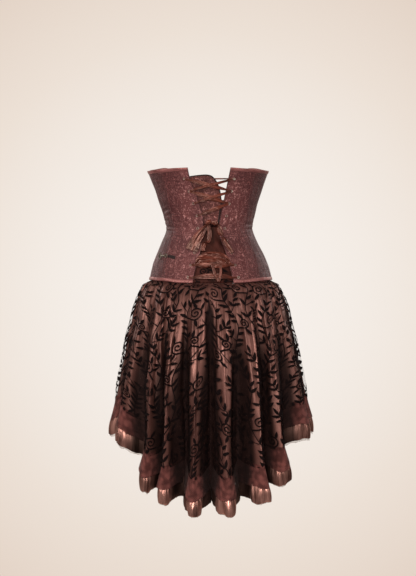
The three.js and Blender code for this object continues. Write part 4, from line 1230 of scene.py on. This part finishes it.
class Strips:
    """Collects flat stems and leaves in the cloth's own places, in millimetres, and keeps them apart."""

    def __init__(self):
        self.points = []
        self.faces = []
        self.taken = set()

    def cells(self, points):
        return set(map(tuple, np.floor(np.asarray(points) / CELL).astype(int).tolist()))

    def free(self, points):
        return not self.cells(points) & self.taken

    def mark(self, points):
        self.taken |= self.cells(points)

    def add(self, left, right):
        """A strip between two lines of points."""
        start = len(self.points)
        for a, b in zip(left, right):
            self.points.extend((a, (a + b) / 2, b))
        for k in range(start, start + 3 * (len(left) - 1), 3):
            self.faces += [(k, k + 1, k + 4, k + 3), (k + 1, k + 2, k + 5, k + 4)]

    def stem(self, line, wide, tail=0.5):
        line = np.asarray(line, float)
        run = unit(np.gradient(line, axis=0))
        side = np.stack([-run[:, 1], run[:, 0]], -1)
        taper = np.linspace(1, tail, len(line))[:, None] * wide / 2
        self.add(line + side * taper, line - side * taper)
        self.mark(line)

    def leaf(self, base, direction, size=1.0, bend=0.0):
        """An almond leaf, left out where its outer part would lie on another motif."""
        length, wide = VINE["leaf"] * size, VINE["leaf_wide"] * math.sqrt(size)
        t = np.linspace(0, 1, 9)
        direction = unit(np.asarray(direction, float))
        side = np.array([-direction[1], direction[0]])
        curve = base + direction * (t * length)[:, None] + side * (bend * length * t * t)[:, None]
        half = (wide / 2 * np.sin(math.pi * t ** 0.85) ** 0.8)[:, None]
        half[0] = half[-1] = 0.25
        left, right = curve + side * half, curve - side * half
        outer = np.concatenate([curve[3:], left[3:], right[3:]])
        if self.free(outer):
            self.add(left, right)
            self.mark(outer)


def turned(direction, degrees):
    (x, y), a = direction, math.radians(degrees)
    return np.array([x * math.cos(a) - y * math.sin(a), x * math.sin(a) + y * math.cos(a)])


def scroll(strips, base, side, radius, chance):
    """A stem that leaves the vine upwards and rolls up into a spiral, with leaves fanned round it."""
    centre = base + np.array([side * (radius + 6), -SCROLL["rise"] - radius * 0.4])
    reach = radius + SCROLL["clear"]
    across = np.arange(-reach, reach + 0.1, CELL / 1.5)
    disc = centre + np.array([(x, y) for x in across for y in across if math.hypot(x, y) <= reach])
    if not strips.free(disc):
        return
    t = np.linspace(0, 1, 52)
    reach = radius * (1 - 0.86 * t ** 0.95)
    angle = math.pi / 2 - side * SCROLL["turns"] * 2 * math.pi * t
    spiral = centre + np.stack([reach * np.cos(angle), reach * np.sin(angle)], -1)
    bend = np.linspace(0, 1, 9)[:-1, None]
    elbow = np.array([base[0] + side * 1.5, spiral[0][1]])
    lead = base * (1 - bend) ** 2 + 2 * elbow * bend * (1 - bend) + spiral[0] * bend ** 2
    strips.stem(np.concatenate([lead, spiral]), SCROLL["wide"], 0.85)
    strips.mark(disc)
    for share, lean in SCROLL_LEAVES:
        k = int(share * (len(t) - 1))
        outward = unit(spiral[k] - centre)
        aim = turned(outward, -side * (lean + chance.uniform(-6, 6)))
        strips.leaf(spiral[k], aim, chance.uniform(0.8, 1.0), -0.08 * side)
    dot = np.linspace(0, 2 * math.pi, 9)
    ring = spiral[-1] + 1.9 * np.stack([np.cos(dot), np.sin(dot)], -1)
    strips.add(ring, np.repeat(spiral[-1][None], 9, 0))


def spray(strips, base, up, side, chance):
    """A side branch with pairs of leaves and one leaf at its tip."""
    t = np.linspace(0, 1, 12)[:, None]
    start, ahead = turned(up, side * SPRAY["start"]), turned(up, side * SPRAY["end"])
    line = base + SPRAY["long"] * (start * (t - 0.5 * t ** 2) + ahead * 0.5 * t ** 2)
    if not strips.free(line[4:]):
        return
    strips.stem(line, VINE["stem"] * 0.85, 0.7)
    strips.leaf(line[-1], line[-1] - line[-2], 0.95)
    for k in (5, 9):
        run = unit(line[k] - line[k - 1])
        for leaf_side in (-1, 1):
            strips.leaf(line[k], turned(run, leaf_side * (SPRAY["lean"] + chance.uniform(-5, 5))),
                        chance.uniform(0.8, 1.0), 0.06 * leaf_side)


def main_stem(x0, phase, hand):
    """The place of a main stem at a distance down the cloth."""
    swing = 2 * math.pi / VINE["period"]
    return lambda at: np.array([x0 + hand * VINE["sway"] * math.sin(swing * at + phase), at])


def vines(strips, width, length, seed):
    """Main stems with leaf pairs that point up, and scrolls and sprays to the left and right in turn."""
    chance = np.random.default_rng(seed)
    count = int(width // VINE["spacing"]) + 1
    start, end, step = -VINE["margin"], length + VINE["margin"], VINE["step"]
    stems = []
    for k in range(-count, count + 1):
        place = main_stem((k + 0.5) * VINE["spacing"], 1.5 * k + seed, 1 if k % 2 else -1)
        strips.stem([place(at) for at in np.arange(start, end, 4.0)], VINE["stem"], 1.0)
        first = start + step * (0.5 + 0.5 * math.sin(2.3 * k + seed))
        stems.append((place, np.arange(first, end, step)))
    for kind in ("scroll", "spray", "leaf"):
        for k, (place, nodes) in enumerate(stems):
            for number, at in enumerate(nodes):
                vine_node(strips, kind, place, at, number + 2 * k, chance)


def vine_node(strips, kind, place, at, number, chance):
    """One node of a main stem: every other one carries a scroll or a spray on one side."""
    base = place(at)
    up = unit(place(at - 2) - base)
    side = 1 if (number // 2) % 2 else -1
    branch = {0: "scroll", 2: "scroll", 4: "spray"}.get((number + number // 8) % 6)
    if kind == branch == "scroll":
        scroll(strips, base, side, SCROLL["small"] if number % 3 == 0 else SCROLL["large"], chance)
    elif kind == branch == "spray":
        spray(strips, base, up, side, chance)
    elif kind == "leaf":
        for leaf_side in (-1, 1):
            strips.leaf(base, turned(up, leaf_side * chance.uniform(32, 46)), chance.uniform(0.85, 1.08),
                        0.09 * leaf_side)


def flock_piece(name, grid, mirrored, seed, lift=0.5):
    """The flocked vines of one gore, laid on its grid of points by their real size."""
    places = cloth_places(grid)
    strips = Strips()
    vines(strips, np.abs(places[..., 0]).max() / VINE["stretch"], places[..., 1].max(), seed)
    flat = np.array(strips.points) * [-VINE["stretch"] if mirrored else VINE["stretch"], 1]
    points, inside = onto_grid(grid, places, flat, lift)
    faces = np.array(strips.faces)
    faces = faces[inside[faces].all(1)]
    used, back = np.unique(faces, return_inverse=True)
    piece = mesh_object(name, points[used], back.reshape(faces.shape), flat[used], "skirt_flock")
    stands_for(piece, "skirt_mesh")
    return piece


def onto_grid(grid, places, flat, lift):
    """Points of the cloth's flat places on its hanging surface, and which of them lie inside it."""
    columns, rows = grid.shape[:2]
    down = places[..., 1].mean(0)
    row = np.interp(flat[:, 1], down, np.arange(rows))
    low = np.clip(np.floor(row).astype(int), 0, rows - 2)
    share = row - low
    lifted = grid + turned_to(grid * [1, 1, 0], grid_normals(grid)) * lift

    def on_row(r):
        column = np.empty(len(flat))
        for value in np.unique(r):
            chosen = r == value
            column[chosen] = np.interp(flat[chosen, 0], places[:, value, 0], np.arange(columns))
        left = np.clip(np.floor(column).astype(int), 0, columns - 2)
        part = (column - left)[:, None]
        return lifted[left, r] * (1 - part) + lifted[left + 1, r] * part, column

    first, column = on_row(low)
    second, _ = on_row(low + 1)
    points = first * (1 - share[:, None]) + second * share[:, None]
    inside = (column > 0) & (column < columns - 1) & (row > 0.0) & (row < rows - 1)
    return points, inside


# Colour of the surroundings by how far a direction points along +Y.
BACKDROP = (
    (0.0, (0.30, 0.285, 0.27)),
    (0.80, (0.42, 0.38, 0.34)),
    (0.972, (0.73, 0.60, 0.51)),
    (0.988, (0.84, 0.745, 0.665)),
    (0.9965, (0.905, 0.845, 0.79)),
    (1.0, (0.93, 0.88, 0.84)),
)
CAMERA = {"x": -7.4, "y": -4500, "z": -165, "lens": 144.2}
FLOOR = {"z": -1050, "radius": 580, "sides": 96}
# Soft lights: name, place and aim in metres, size, power and colour.
LIGHTS = (
    ("left_softbox", (-3.0, -2.3, 1.5), (0, 0, -0.3), 1.5, 70, (1, 0.95, 0.92)),
    ("right_softbox", (3.0, -2.3, 1.1), (0, 0, -0.35), 1.5, 45, (1, 0.95, 0.92)),
    ("front_softbox", (-0.45, -4.3, 0.9), (0, 0, -0.35), 1.15, 128, (1, 0.95, 0.91)),
    ("behind_left", (-2.2, 1.6, 0.8), (0, 0, -0.2), 1.0, 14, (1, 1, 1)),
    ("behind_right", (2.2, 1.6, 0.8), (0, 0, -0.2), 1.0, 14, (1, 1, 1)),
)


def studio():
    data = bpy.data.cameras.new("camera")
    data.sensor_fit, data.sensor_width, data.lens = "HORIZONTAL", 36, CAMERA["lens"]
    camera = add_object("camera", data)
    camera.location = [CAMERA[axis] * MM for axis in "xyz"]
    camera.rotation_euler = (math.pi / 2, 0, 0)
    bpy.context.scene.camera = camera
    bpy.context.scene.world = backdrop_world()
    bpy.context.scene.view_settings.view_transform = "Standard"
    floor()
    for light in LIGHTS:
        area_light(*light)


def backdrop_world():
    """A bright cream backdrop beyond the dress, which falls off towards the dim room in front of it."""
    world = bpy.data.worlds.new("world")
    world.use_nodes = True
    tree = world.node_tree
    split = tree.nodes.new("ShaderNodeSeparateXYZ")
    tree.links.new(tree.nodes.new("ShaderNodeTexCoord").outputs["Generated"], split.inputs[0])
    ramp = tree.nodes.new("ShaderNodeValToRGB")
    tree.links.new(split.outputs["Y"], ramp.inputs["Fac"])
    tree.links.new(ramp.outputs["Color"], tree.nodes["Background"].inputs["Color"])
    stops = ramp.color_ramp.elements
    stops.remove(stops[1])
    stops[0].position, stops[0].color = BACKDROP[0][0], (*BACKDROP[0][1], 1)
    for place, colour in BACKDROP[1:]:
        stops.new(place).color = (*colour, 1)
    return world


def area_light(name, place, aim, size, power, colour):
    data = bpy.data.lights.new(name, "AREA")
    data.size, data.energy, data.color = size, power, colour
    light = add_object(name, data)
    light.location = place
    light.rotation_euler = (Vector(aim) - Vector(place)).to_track_quat("-Z", "Y").to_euler()


def floor():
    """A round pale floor under the dress, just out of the camera's view."""
    mesh = bpy.data.meshes.new("floor")
    work = bmesh.new()
    bmesh.ops.create_circle(work, cap_ends=True, segments=FLOOR["sides"], radius=FLOOR["radius"] * MM,
                            matrix=Matrix.Translation((0, 0, FLOOR["z"] * MM)))
    work.to_mesh(mesh)
    work.free()
    mesh.materials.append(MATERIALS["floor"])
    add_object("floor", mesh)


studio()
panels_made = corset_panels()
bindings()
tongue()
eyelets()
lacing()
bow()
clasp()
yoke()
overlay_and_flock()
satin_skirt()
lace_band()
ruffle()
